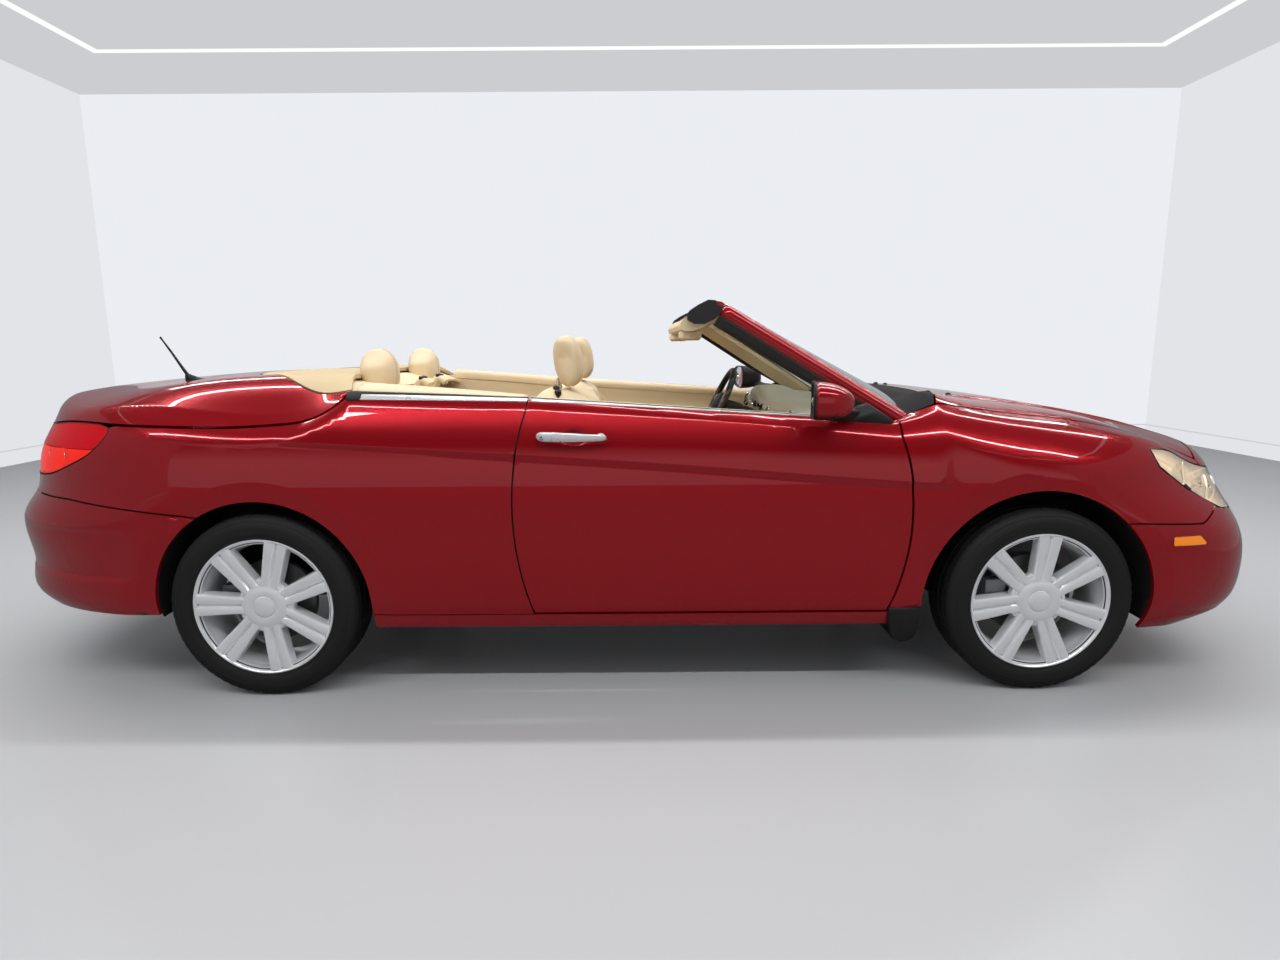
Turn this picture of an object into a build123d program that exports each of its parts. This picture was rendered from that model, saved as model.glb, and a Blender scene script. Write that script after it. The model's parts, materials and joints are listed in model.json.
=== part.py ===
from build123d import *
import os
from math import cos, radians, sin

# Millimetres. x runs forward from mid-length, y to the car's left, z up from the ground.

# Wheels and axles
front_axle_x = 1485
rear_axle_x = -1280
half_track = 785
tyre_radius = 336
tyre_width = 215
bead_radius = 228
flange_radius = 248
rim_half_width = 96
spoke_count = 7
disc_radius = 150
kingpin_y = 725

# Body
panel_thickness = 30
shut_gap = 6
lid_gap = 9
door_flange = 18
door_flange_y = 850
side_bow = 5
side_front_x = 1500
side_rear_x = -1300
cross_power = 2.6
sill_top = 306
plate_hole_spacing = 178
plate_hole_radius = 3
plate_hole_z = 560
door_inner_y = 772
rear_trim_y = 700
cowl_half_width = 776

# Wheel arches: centre x, centre z, opening radius, inner end of the wheelhouse
front_arch = (1474, 325, 415, 474)
rear_arch = (-1280, 335, 386, 560)
liner_thickness = 8

# Plan outline of the body at each height. The ends are superellipses:
# z, nose x, nose power, tail x, tail power, half width
levels = [
    (215, 2300, 4.3, -2300, 3.0, 843),
    (270, 2415, 4.8, -2350, 3.0, 867),
    (330, 2452, 5.0, -2440, 3.0, 886),
    (424, 2462, 5.0, -2448, 3.0, 896),
    (545, 2458, 4.4, -2462, 3.0, 902),
    (645, 2440, 3.0, -2450, 3.0, 903),
    (725, 2425, 2.1, -2385, 3.0, 901),
    (800, 2400, 1.75, -2368, 3.0, 897),
    (900, 2360, 1.7, -2345, 2.9, 885),
    (985, 2330, 1.7, -2310, 2.6, 859),
    (1200, 2280, 1.7, -2290, 2.6, 770),
]

# Crown of the body at each station, from the centreline outwards:
# x, centre z, z at y 400, edge y, edge z, shoulder y, shoulder z, z at y 950
stations = [
    (-2480, 1000, 980, 500, 950, 580, 920, 640),
    (-2320, 1052, 1037, 520, 1002, 600, 975, 700),
    (-2150, 1090, 1072, 560, 1032, 640, 1003, 740),
    (-2000, 1108, 1092, 600, 1052, 700, 1020, 800),
    (-1700, 1134, 1124, 690, 1086, 770, 1048, 860),
    (-1400, 1144, 1138, 700, 1105, 800, 1024, 858),
    (-1100, 1146, 1142, 720, 1104, 800, 1035, 870),
    (-940, 1140, 1138, 750, 1104, 800, 1088, 900),
    (-311, 1062, 1062, 780, 1062, 812, 1062, 905),
    (943, 974, 974, 780, 974, 842, 974, 830),
    (1116, 1052, 1051, 780, 1037, 830, 1003, 860),
    (1346, 1044, 1036, 720, 1003, 815, 965, 800),
    (1722, 992, 982, 680, 953, 800, 905, 740),
    (2016, 931, 915, 608, 871, 700, 851, 600),
    (2182, 886, 866, 586, 806, 660, 752, 520),
    (2330, 836, 812, 560, 745, 640, 690, 450),
    (2480, 745, 720, 540, 660, 620, 600, 380),
]


def ring(points):
    """Closed wire through three-dimensional points."""
    return Wire.make_polygon([Vector(*point) for point in points], close=True)


def sidePrism(points, y_low, y_high):
    """Outline in x and z, carried from y_low to y_high."""
    face = Face(ring([(x, y_low, z) for x, z in points]))
    return extrude(face, y_high - y_low, dir=(0, 1, 0))


def planPrism(points, z_low, z_high):
    """Outline in x and y, carried from z_low to z_high."""
    face = Face(ring([(x, y, z_low) for x, y in points]))
    return extrude(face, z_high - z_low, dir=(0, 0, 1))


def block(x_low, x_high, y_low, y_high, z_low, z_high):
    centre = ((x_low + x_high) / 2, (y_low + y_high) / 2, (z_low + z_high) / 2)
    return Pos(*centre) * Box(x_high - x_low, y_high - y_low, z_high - z_low)


def rodAcross(x, z, radius, y_low, y_high):
    """Cylinder along y."""
    return Pos(x, (y_low + y_high) / 2, z) * Rot(90, 0, 0) * Cylinder(radius, y_high - y_low)


def bar(start, end, radius):
    """Round bar between two points."""
    line = Vector(*end) - Vector(*start)
    plane = Plane(origin=start, z_dir=line.normalized())
    return extrude(plane * Circle(radius), line.length)


def mirrored(shape):
    return mirror(shape, about=Plane.XZ)


def quarterPoints(end_x, start_x, power, half_width):
    """Superellipse from the centreline round to the side."""
    points = []
    for step in range(7):
        turn = radians(15 * step)
        x = start_x + (end_x - start_x) * round(cos(turn), 12) ** (2 / power)
        y = half_width * sin(turn) ** (2 / cross_power)
        points.append((x, y))
    return points


def arcsThrough(points, z):
    return [
        ThreePointArc((*points[i], z), (*points[i + 1], z), (*points[i + 2], z))
        for i in (0, 2, 4)
    ]


def outlineAt(level, inset):
    z, nose_x, nose_power, tail_x, tail_power, half_width = level
    width = half_width - inset
    front = quarterPoints(nose_x - inset, side_front_x, nose_power, width)
    rear = quarterPoints(tail_x + inset, side_rear_x, tail_power, width)
    left = arcsThrough(front, z)
    middle_x = (side_front_x + side_rear_x) / 2
    bow_top = (middle_x, width + side_bow, z)
    left.append(ThreePointArc((side_front_x, width, z), bow_top, (side_rear_x, width, z)))
    left += arcsThrough(rear[::-1], z)
    right = arcsThrough([(x, -y) for x, y in rear], z)
    bow_low = (middle_x, -width - side_bow, z)
    right.append(ThreePointArc((side_rear_x, -width, z), bow_low, (side_front_x, -width, z)))
    right += arcsThrough([(x, -y) for x, y in front[::-1]], z)
    return Wire(left + right)


def crownAt(station, inset):
    x, centre_z, mid_z, edge_y, edge_z, shoulder_y, shoulder_z, outer_z = station
    half = [(950, outer_z), (shoulder_y, shoulder_z), (edge_y, edge_z), (400, mid_z)]
    left = [(x, y, z - inset) for y, z in half]
    right = [(x, -y, z - inset) for y, z in half[::-1]]
    return ring([(x, 950, 100)] + left + [(x, 0, centre_z - inset)] + right + [(x, -950, 100)])


def makeHull(inset):
    """The whole closed body, drawn in by the inset."""
    sides = Solid.make_loft([outlineAt(level, inset) for level in levels], ruled=True)
    crown = Solid.make_loft([crownAt(station, inset) for station in stations], ruled=True)
    return Part() + sides & crown


hull = makeHull(0)
core = makeHull(panel_thickness)


def archCut(arch, extra, y_low, y_high):
    x, z, radius, _ = arch
    return rodAcross(x, z, radius + extra, y_low, y_high)


def doorPrism(side, grow, y_low, y_high, z_top):
    """Door outline in side view: arcs at the front and rear edges."""
    low = sill_top + shut_gap - grow
    front = ThreePointArc((936 + grow, y_low, low), (1003 + grow, y_low, 690), (915 + grow, y_low, 1045))
    rear = ThreePointArc((-308 - grow, y_low, 1085), (-374 - grow, y_low, 780), (-314 - grow, y_low, low))
    top_front = (915 + grow, y_low, z_top)
    top_rear = (-308 - grow, y_low, z_top)
    edges = [
        Line((-314 - grow, y_low, low), (936 + grow, y_low, low)),
        front,
        Line((915 + grow, y_low, 1045), top_front),
        Line(top_front, top_rear),
        Line(top_rear, (-308 - grow, y_low, 1085)),
        rear,
    ]
    prism = extrude(Face(Wire(edges)), y_high - y_low, dir=(0, 1, 0))
    return prism if side > 0 else mirrored(prism)


hood_edge = [(1116, 780), (1346, 720), (1722, 680), (2016, 608), (2182, 586)]
hood_rear_centre_x = 1235
hood_front_centre_x = 2335


def hoodPrism(grow):
    """Hood outline in plan: bent side edges, arcs at the front and rear."""
    left = [(x, y + grow) for x, y in hood_edge]
    left[0] = (1112 - 2 * grow, 775 + 2 * grow)
    right = [(x, -y) for x, y in left]
    nose = ThreePointArc(left[-1], (hood_front_centre_x + grow, 0), right[-1])
    scuttle = ThreePointArc(right[0], (hood_rear_centre_x - grow, 0), left[0])
    edges = [*Polyline(*left).edges(), nose, *Polyline(*right[::-1]).edges(), scuttle]
    return extrude(Pos(0, 0, 600) * Face(Wire(edges)), 700, dir=(0, 0, 1))


def tonneauPrism(grow):
    """Cover between the rear seat and the deck lid, in plan."""
    left_front = (-955 + grow, 762 + grow)
    left_rear = (-1290 - grow, 700 + grow)
    right_front = (left_front[0], -left_front[1])
    right_rear = (left_rear[0], -left_rear[1])
    edges = [
        Line(left_front, left_rear),
        ThreePointArc(left_rear, (-1560 - grow, 0), right_rear),
        Line(right_rear, right_front),
        ThreePointArc(right_front, (-1075 + grow, 0), left_front),
    ]
    return extrude(Pos(0, 0, 900) * Face(Wire(edges)), 400, dir=(0, 0, 1))


# Lower edge of the deck lid in side view, front to rear
deck_shut_line = [
    (-936, 1096), (-1002, 1043), (-1060, 1011), (-1204, 986), (-1339, 979),
    (-1520, 981), (-1788, 988), (-2016, 990), (-2130, 978), (-2520, 968),
]
lamp_inner_y = 520
lid_low_z = 730


def deckPrism(grow):
    """Everything above the lid's shut line, with the drop between the tail lamps."""
    line = [(x, z - grow) for x, z in deck_shut_line]
    front_x = deck_shut_line[0][0] + grow
    line[0] = (front_x, line[0][1])
    upper = sidePrism(line + [(-2520, 1300), (front_x, 1300)], -1000, 1000)
    drop = block(-2520, -2200, -lamp_inner_y - grow, lamp_inner_y + grow, lid_low_z - grow, 1000)
    return upper + drop


# Side view outlines of the lamps and the bumper seams
headlamp_outline = [
    (1912, 867), (2020, 851), (2203, 779), (2330, 758), (2420, 748), (2520, 748),
    (2520, 638), (2420, 634), (2285, 630), (2196, 644), (2037, 724), (1919, 806),
]
headlamp_inner_y = 460
tail_lamp_outline = [
    (-1798, 978), (-1802, 950), (-1846, 900), (-1948, 846), (-2051, 809), (-2130, 795),
    (-2520, 780), (-2520, 968), (-2130, 978), (-2016, 990),
]
front_seam = [(1740, 622), (2059, 608), (2159, 652), (2205, 700), (2205, 900), (2520, 900)]
rear_seam = [(-1450, 663), (-1966, 719), (-2520, 724)]
rear_bumper_low_z = 300
front_bumper_low_z = 214
headlamp = sidePrism(headlamp_outline, headlamp_inner_y, 1000)
headlamps_region = headlamp + mirrored(headlamp)
tail_lamp = sidePrism(tail_lamp_outline, lamp_inner_y, 1000)
tail_lamps_region = tail_lamp + mirrored(tail_lamp)
front_bumper_region = sidePrism(front_seam + [(2520, 100), (1740, 100)], -1000, 1000)
rear_bumper_region = sidePrism(rear_seam + [(-2520, 100), (-1450, 100)], -1000, 1000)
grille_region = block(2205, 2520, -430, 430, 655, 790)
lower_grille_region = block(2205, 2520, -520, 520, 300, 400)

hull = makeHull(0)
core = makeHull(panel_thickness)
deep_core = makeHull(panel_thickness + 60)
thin_core = makeHull(12)


def frontArches(extra, y_low):
    cut = archCut(front_arch, extra, y_low, 1000)
    return cut + mirrored(cut)


def rearArches(extra, y_low):
    cut = archCut(rear_arch, extra, y_low, 1000)
    return cut + mirrored(cut)


front_openings = frontArches(0, 600)
rear_openings = rearArches(0, 600)


# Body panels that stay fixed
def makeFender():
    blank = hull & block(915, 2205, 560, 1000, sill_top, 1200)
    cuts = doorPrism(1, shut_gap, 0, 1000, 1300) + hoodPrism(lid_gap)
    plain = blank - core - cuts
    plain -= block(900, 1124, 0, cowl_half_width + shut_gap, 900, 1300)
    plain -= block(1100, 1240, 0, 740, 900, 1300)
    return plain - front_openings - headlamps_region - front_bumper_region


def makeQuarter():
    blank = hull & block(-2520, -300, 0, 1000, sill_top, 1200)
    shell = blank - core - block(-2200, 0, -10, 600, 0, 2000) - block(-1100, 0, -10, rear_trim_y, 0, 2000) - block(-2520, -2190, -10, lamp_inner_y, 0, 2000)
    wall = blank & block(-1000, -300, rear_trim_y, 1000, sill_top, 1200)
    cuts = doorPrism(1, shut_gap, 0, 1000, 1300) + deckPrism(lid_gap)
    wall -= rearArches(liner_thickness, 0)
    panel = shell + wall - cuts - tonneauPrism(0)
    return panel - rear_openings - tail_lamps_region - rear_bumper_region


def makeFrontBumper():
    blank = hull & front_bumper_region & block(1700, 2520, -1000, 1000, front_bumper_low_z, 1000)
    shell = blank - core - hoodPrism(lid_gap)
    return shell - front_openings - headlamps_region - grille_region - lower_grille_region


def makeRearBumper():
    """Skin with the two screw holes of the number plate."""
    blank = hull & rear_bumper_region & block(-2520, -1400, -1000, 1000, rear_bumper_low_z, 1000)
    shell = blank - core - rear_openings
    for y in (-plate_hole_spacing / 2, plate_hole_spacing / 2):
        shell -= Pos(-2450, y, plate_hole_z) * Rot(0, 90, 0) * Cylinder(plate_hole_radius, 200)
    return shell


def makeGrille():
    """Bars set back in the two openings of the nose."""
    skin = hull - core
    upper = skin & grille_region
    lower = skin & lower_grille_region
    slots = Part()
    for z in (675, 702, 729, 756):
        slots += block(2200, 2520, -418, 418, z - 9, z + 9)
    for z in (322, 350, 378):
        slots += block(2200, 2520, -505, 505, z - 9, z + 9)
    inner = thin_core
    ribs = Part()
    for y in (-300, -150, 0, 150, 300):
        ribs += block(2200, 2520, y - 8, y + 8, 300, 790)
    face = (upper + lower) & inner
    return face - (slots - ribs)


def makeHood():
    return (hull & hoodPrism(0)) - core


def makeDeckLid():
    blank = hull & deckPrism(0) & block(-2520, -936, -1000, 1000, 600, 1300)
    front_strip = block(-1080, -930, -738, 738, 900, 1300) + block(-968, -930, -772, 772, 900, 1300)
    return blank - core - tonneauPrism(lid_gap) - front_strip


def makeTonneau():
    return (hull & tonneauPrism(0)) - core


def makeCowl():
    scuttle = block(962, 1232, -cowl_half_width, cowl_half_width, 900, 1300) - hoodPrism(lid_gap)
    corner = block(1112, 1300, 740, 800, 800, 1300)
    return (hull & scuttle) - core - corner - mirrored(corner)


def makeSill():
    blank = hull & block(-1000, 1100, 780, 1000, 250, sill_top)
    return blank - frontArches(0, 600) - rearArches(0, 600)


# Windscreen: one curved sheet between a low arc and a high arc
screen_low = {"z": 960, "side_x": 1060, "side_y": 795, "centre_x": 1262}
screen_high = {"z": 1396, "side_x": 372, "side_y": 606, "centre_x": 440}
frame_depth = 44
glass_depth = 6


def screenArc(row, set_back, set_in):
    side_y = row["side_y"] - set_in
    side_x = row["side_x"] - set_back
    return ThreePointArc(
        (side_x, -side_y, row["z"]), (row["centre_x"] - set_back, 0, row["z"]), (side_x, side_y, row["z"])
    )


def screenSection(row, front, rear, set_in):
    outer = screenArc(row, front, set_in)
    inner = screenArc(row, rear, set_in)
    right = Line(outer @ 0, inner @ 0)
    left = Line(outer @ 1, inner @ 1)
    return Wire([outer, left, inner, right])


def screenSheet(front, rear, set_in):
    sections = [screenSection(row, front, rear, set_in) for row in (screen_low, screen_high)]
    return Part() + Solid.make_loft(sections, ruled=True)


header_profile = [(440, 1396), (400, 1404), (300, 1366), (215, 1318), (222, 1300), (330, 1300), (396, 1350)]


def makeScreenFrame():
    pillars = screenSheet(0, frame_depth, 0) - screenSheet(-20, frame_depth + 20, 62)
    header = sidePrism(header_profile, -600, 600)
    bow = planPrism([(372, -606), (440, 0), (372, 606), (100, 606), (100, -606)], 1200, 1500)
    return (pillars + (header & bow)) - hull


def makeScreenGlass():
    sheet = screenSheet(12, 12 + glass_depth, 62) - hull
    header = sidePrism(header_profile, -600, 600)
    return sheet - header - block(0, 1400, -900, 900, 1380, 1500)


# Inside
firewall_x = (1086, 1104)
cabin_floor_z = (238, 256)
boot_floor_z = (400, 416)
bulkhead_x = (-1085, -1065)


def makeFloorPan():
    """Floor, tunnel, firewall, rear bulkhead and boot floor, trimmed to the inside of the panels."""
    floor = block(-720, firewall_x[1], -780, 780, *cabin_floor_z)
    tunnel = block(-720, firewall_x[0], -100, 100, cabin_floor_z[0], 390)
    tunnel_hollow = block(-740, firewall_x[0] - 12, -88, 88, 200, 378)
    floor = floor + tunnel - tunnel_hollow
    wall = block(*firewall_x, -860, 860, cabin_floor_z[0], 1100)
    step = block(-720, -702, -690, 690, cabin_floor_z[0], boot_floor_z[1])
    boot = block(-2420, -702, -700, 700, *boot_floor_z)
    bulkhead = block(*bulkhead_x, -rear_trim_y, rear_trim_y, boot_floor_z[0], 1200)
    pan = floor + wall + step + boot + bulkhead
    housings = frontArches(liner_thickness, front_arch[3]) + rearArches(liner_thickness, rear_arch[3])
    return (pan & core) - housings - block(-2500, -900, rear_trim_y, 900, 0, 900)


def makeWheelhouses():
    """Liners over the four wheels."""
    shapes = Part()
    for arch, wall_low_z in ((front_arch, 560), (rear_arch, 420)):
        x, z, radius, inner_y = arch
        tube = rodAcross(x, z, radius + liner_thickness, inner_y, 900) - rodAcross(x, z, radius, inner_y - 1, 901)
        end = rodAcross(x, z, radius, inner_y, inner_y + liner_thickness)
        end -= block(x - 500, x + 500, 0, 900, 0, wall_low_z)
        liner = (tube + end) & block(x - 500, x + 500, inner_y, 900, 330, 900)
        shapes += liner & core
    return shapes + mirrored(shapes)


def makeDashboard():
    profile = [(640, 1000), (690, 1034), (900, 1020), (1080, 990), (1080, 700), (800, 640), (700, 760)]
    top = sidePrism(profile, -750, 750)
    hood_over_dials = sidePrism([(600, 1010), (640, 1062), (760, 1066), (860, 1030), (660, 990)], 210, 530)
    return (top + hood_over_dials) & makeHull(40)


steering_centre = Vector(455, 370, 948)
steering_tilt = 25
steering_plane = Plane(
    origin=steering_centre,
    x_dir=(0, 1, 0),
    z_dir=(-cos(radians(steering_tilt)), 0, sin(radians(steering_tilt))),
)
wheel_rim_radius = 185


def makeSteeringWheel():
    rim = steering_plane * Torus(wheel_rim_radius, 15)
    hub = steering_plane * Pos(0, 0, -20) * Cylinder(62, 44)
    wheel = rim + hub
    for turn in (-10, 60, 120, 190):
        spoke = Rot(0, 0, turn + 180) * Pos(wheel_rim_radius / 2 + 20, 0, -10) * Box(wheel_rim_radius - 50, 34, 14)
        wheel += steering_plane * spoke
    return wheel


def addColumn(dashboard):
    start = steering_plane.from_local_coords(Vector(0, 0, -48))
    end = steering_plane.from_local_coords(Vector(0, 0, -330))
    return dashboard + bar(tuple(start), tuple(end), 44)


def makeConsole():
    return sidePrism([(-420, 390), (-420, 640), (-100, 640), (80, 560), (560, 560), (640, 640), (760, 390)], -100, 100)


def cushion(size, place, lean=0, rounding=40):
    solid = fillet(Box(*size).edges(), rounding)
    return Pos(*place) * Rot(0, -lean, 0) * solid


def makeFrontSeat(y):
    """Cushion, back, headrest and base."""
    base = block(-140, 330, y - 190, y + 190, cabin_floor_z[1], 392)
    seat = cushion((540, 510, 150), (110, y, 466), -6)
    back = cushion((150, 510, 600), (-170, y, 800), -15)
    head = cushion((105, 255, 190), (-262, y, 1190), -8, 45)
    posts = bar((-232, y - 60, 1060), (-252, y - 60, 1120), 6) + bar((-232, y + 60, 1060), (-252, y + 60, 1120), 6)
    return base + seat + back + head + posts


def makeRearSeat():
    seat = cushion((470, 1080, 150), (-700, 0, 522), -6)
    back = cushion((150, 1080, 520), (-890, 0, 815), -14)
    parts = seat + back
    for y in (-330, 330):
        parts += cushion((110, 250, 190), (-975, y, 1140), -6, 45)
    return parts


# Running gear
def makeTyre():
    half = tyre_width / 2
    profile = [
        (bead_radius, -rim_half_width), (flange_radius, -rim_half_width), (290, -half),
        (tyre_radius - 14, -half + 4), (tyre_radius, -half + 26), (tyre_radius, half - 26),
        (tyre_radius - 14, half - 4), (290, half), (flange_radius, rim_half_width), (bead_radius, rim_half_width),
    ]
    return revolve(Face(ring([(r, 0, w) for r, w in profile])), Axis.Z)


def makeWheel(spoke_phase):
    """Rim, spokes, hub and brake disc. The outer side faces +z before it is placed."""
    rim_profile = [
        (212, -rim_half_width), (bead_radius, -rim_half_width), (bead_radius, rim_half_width),
        (flange_radius, rim_half_width), (flange_radius, 102), (218, 102), (206, 60),
    ]
    rim = revolve(Face(ring([(r, 0, w) for r, w in rim_profile])), Axis.Z)
    hub = Pos(0, 0, 68) * Cylinder(80, 56) + Pos(0, 0, 99) * Cylinder(40, 8) + Pos(0, 0, 14) * Cylinder(70, 60)
    disc = Pos(0, 0, -4) * Cylinder(disc_radius, 24)
    wheel = rim + hub + disc
    for index in range(spoke_count):
        blade = Face(ring([(68, -34, 66), (222, -27, 66), (222, 27, 66), (68, 34, 66)]))
        spoke = extrude(blade, 26, dir=(0, 0, 1))
        wheel += Rot(0, 0, spoke_phase + 360 * index / spoke_count) * spoke
    return wheel


def placeWheel(shape, x, side):
    turned = Rot(-90, 0, 0) * shape
    if side < 0:
        turned = mirrored(turned)
    return Pos(x, side * half_track, tyre_radius) * turned


def makeKnuckle(side):
    """Upright with a spindle flange, a caliper and the strut's lower end."""
    upright = block(1450, 1520, 690, 742, 215, 470)
    flange = rodAcross(front_axle_x, tyre_radius, 60, 742, 764)
    caliper = block(1314, 1384, 728, 822, 290, 400)
    arm = block(1330, 1460, 700, 740, 300, 380)
    knuckle = upright + flange + caliper + arm
    knuckle -= rodAcross(front_axle_x, tyre_radius, disc_radius + 6, 764, 800)
    return knuckle if side > 0 else mirrored(knuckle)


def makeFrontSubframe():
    """Cradle, lower arms and steering rack."""
    cradle = block(1300, 1380, -420, 420, 190, 260) + block(1620, 1700, -420, 420, 190, 260)
    for y in (-400, 340):
        cradle += block(1300, 1700, y, y + 60, 190, 260)
    arm = planPrism([(1320, 400), (1330, 400), (1470, 700), (1500, 700), (1680, 400), (1690, 400), (1690, 390), (1320, 390)], 178, 206)
    arm += rodAcross(1485, 192, 14, 690, 700)
    cradle += arm + mirrored(arm)
    return cradle


def makeEngine():
    return block(1400, 1960, -320, 320, 262, 820)


def makeRearAxle():
    """Cross member, arms, carriers with calipers."""
    member = block(-1240, -1160, -480, 480, 250, 330)
    half = block(-1310, -1250, 480, 742, 268, 400) + block(-1310, -1160, 420, 480, 268, 330)
    half += rodAcross(rear_axle_x, tyre_radius, 60, 730, 764)
    half += block(-1451, -1381, 728, 822, 290, 400) + block(-1435, -1310, 700, 742, 300, 380)
    half -= rodAcross(rear_axle_x, tyre_radius, disc_radius + 6, 764, 800)
    trailing = block(-1160, -760, 500, 540, 268, 320) + block(-1260, -1160, 480, 540, 268, 320)
    half += trailing
    return member + half + mirrored(half)


def makeExhaust():
    pipe = bar((1250, 0, 202), (-1120, 0, 202), 30)
    muffler = Pos(-1900, -250, 285) * Rot(90, 0, 0) * Cylinder(100, 500)
    return pipe + muffler


def makeFuelTank():
    return block(-1110, -760, -460, -60, 262, 390)


# Fittings on the body
def makeHeadlamps():
    region = sidePrism(headlamp_outline, headlamp_inner_y, 1000)
    lamp = (hull & region) - deep_core - hoodPrism(lid_gap)
    return lamp + mirrored(lamp)


def makeTailLamps():
    region = sidePrism(tail_lamp_outline, lamp_inner_y + shut_gap, 1000)
    lamp = (hull & region) - core - deckPrism(lid_gap)
    return lamp + mirrored(lamp)


def makeAntenna():
    foot = (-1640, -450, 1112)
    base = bar(foot, (-1660, -450, 1148), 22)
    return (base + bar((-1660, -450, 1146), (-1764, -450, 1284), 4)) - hull


def makeDoor(side):
    skin = hull & doorPrism(1, 0, door_flange_y, 1000, 1200)
    lining = hull & doorPrism(1, -door_flange, door_inner_y, door_flange_y, 1200)
    door = skin + lining
    return door if side > 0 else mirrored(door)


def makeMirror(side):
    """Shell on a short foot at the door's front top corner."""
    shell = fillet(Box(120, 190, 128).edges(), 34)
    shape = Pos(698, 962, 1062) * shell + block(700, 770, 822, 900, 980, 1050)
    shape = shape - hull
    return shape if side > 0 else mirrored(shape)


def makeHandle(side):
    grip = block(-289, -51, 905, 940, 925, 953)
    grip -= block(-250, -90, 900, 926, 900, 960)
    grip -= hull
    return grip if side > 0 else mirrored(grip)


parts = {
    "floor_pan": makeFloorPan(),
    "wheelhouses": makeWheelhouses(),
    "sills": makeSill() + mirrored(makeSill()),
    "front_bumper": makeFrontBumper(),
    "rear_bumper": makeRearBumper(),
    "grille": makeGrille(),
    "left_front_fender": makeFender(),
    "left_quarter_panel": makeQuarter(),
    "hood": makeHood(),
    "deck_lid": makeDeckLid(),
    "antenna": makeAntenna(),
    "tonneau_cover": makeTonneau(),
    "cowl_panel": makeCowl(),
    "windscreen_frame": makeScreenFrame(),
    "windscreen_glass": makeScreenGlass(),
    "dashboard": addColumn(makeDashboard()),
    "steering_wheel": makeSteeringWheel(),
    "centre_console": makeConsole(),
    "front_seats": makeFrontSeat(365) + makeFrontSeat(-365),
    "rear_seat": makeRearSeat(),
    "headlamps": makeHeadlamps(),
    "tail_lamps": makeTailLamps(),
    "engine": makeEngine(),
    "front_subframe": makeFrontSubframe(),
    "rear_axle": makeRearAxle(),
    "exhaust": makeExhaust(),
    "fuel_tank": makeFuelTank(),
}
parts["right_front_fender"] = mirrored(parts["left_front_fender"])
parts["right_quarter_panel"] = mirrored(parts["left_quarter_panel"])
for name, side in (("left", 1), ("right", -1)):
    parts[f"{name}_door"] = makeDoor(side)
    parts[f"{name}_mirror"] = makeMirror(side)
    parts[f"{name}_handle"] = makeHandle(side)
    parts[f"{name}_knuckle"] = makeKnuckle(side)
    for end, x, phase in (("front", front_axle_x, 85), ("rear", rear_axle_x, 75)):
        parts[f"{end}_{name}_wheel"] = placeWheel(makeWheel(phase), x, side)
        parts[f"{end}_{name}_tyre"] = placeWheel(makeTyre(), x, side)

os.makedirs("parts", exist_ok=True)
for name, shape in parts.items():
    export_step(shape, f"parts/{name}.step")
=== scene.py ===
import bpy, bmesh, json, math
import numpy as np
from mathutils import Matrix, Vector
from mathutils.geometry import delaunay_2d_cdt

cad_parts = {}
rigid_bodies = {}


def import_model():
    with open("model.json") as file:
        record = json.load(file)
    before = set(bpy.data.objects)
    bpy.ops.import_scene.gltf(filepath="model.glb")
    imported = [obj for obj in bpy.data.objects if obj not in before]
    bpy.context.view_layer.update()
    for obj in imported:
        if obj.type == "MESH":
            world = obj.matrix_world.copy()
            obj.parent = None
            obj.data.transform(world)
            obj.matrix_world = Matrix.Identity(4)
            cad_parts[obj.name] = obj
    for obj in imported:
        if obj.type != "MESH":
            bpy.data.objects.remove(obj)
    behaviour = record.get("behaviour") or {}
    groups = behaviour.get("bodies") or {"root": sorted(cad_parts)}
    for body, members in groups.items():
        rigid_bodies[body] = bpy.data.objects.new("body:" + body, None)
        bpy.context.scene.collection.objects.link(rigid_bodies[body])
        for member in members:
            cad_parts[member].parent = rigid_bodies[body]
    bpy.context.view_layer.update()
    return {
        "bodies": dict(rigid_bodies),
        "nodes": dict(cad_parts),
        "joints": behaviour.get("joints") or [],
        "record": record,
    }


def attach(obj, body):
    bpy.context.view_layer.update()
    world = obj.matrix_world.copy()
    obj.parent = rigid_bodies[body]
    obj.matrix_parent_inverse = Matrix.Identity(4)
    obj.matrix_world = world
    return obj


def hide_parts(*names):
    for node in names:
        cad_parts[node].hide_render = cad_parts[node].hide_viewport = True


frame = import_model()
scene = bpy.context.scene


# small helpers for curves and meshes

def smoothThrough(xs, ys):
    # natural cubic line through a few table points, level beyond its ends
    xs, ys = np.asarray(xs, float), np.asarray(ys, float)
    n, h = len(xs), np.diff(xs)
    rows, right = np.eye(n), np.zeros(n)
    for i in range(1, n - 1):
        rows[i, i - 1:i + 2] = h[i - 1], 2 * (h[i - 1] + h[i]), h[i]
        right[i] = 6 * ((ys[i + 1] - ys[i]) / h[i] - (ys[i] - ys[i - 1]) / h[i - 1])
    bend = np.linalg.solve(rows, right)

    def value(x):
        x = np.clip(np.asarray(x, float), xs[0], xs[-1])
        i = np.clip(np.searchsorted(xs, x) - 1, 0, n - 2)
        a, b, step = xs[i + 1] - x, x - xs[i], h[i]
        return (bend[i] * a**3 + bend[i + 1] * b**3) / (6 * step) + (
            (ys[i] / step - bend[i] * step / 6) * a + (ys[i + 1] / step - bend[i + 1] * step / 6) * b)
    return value


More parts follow.
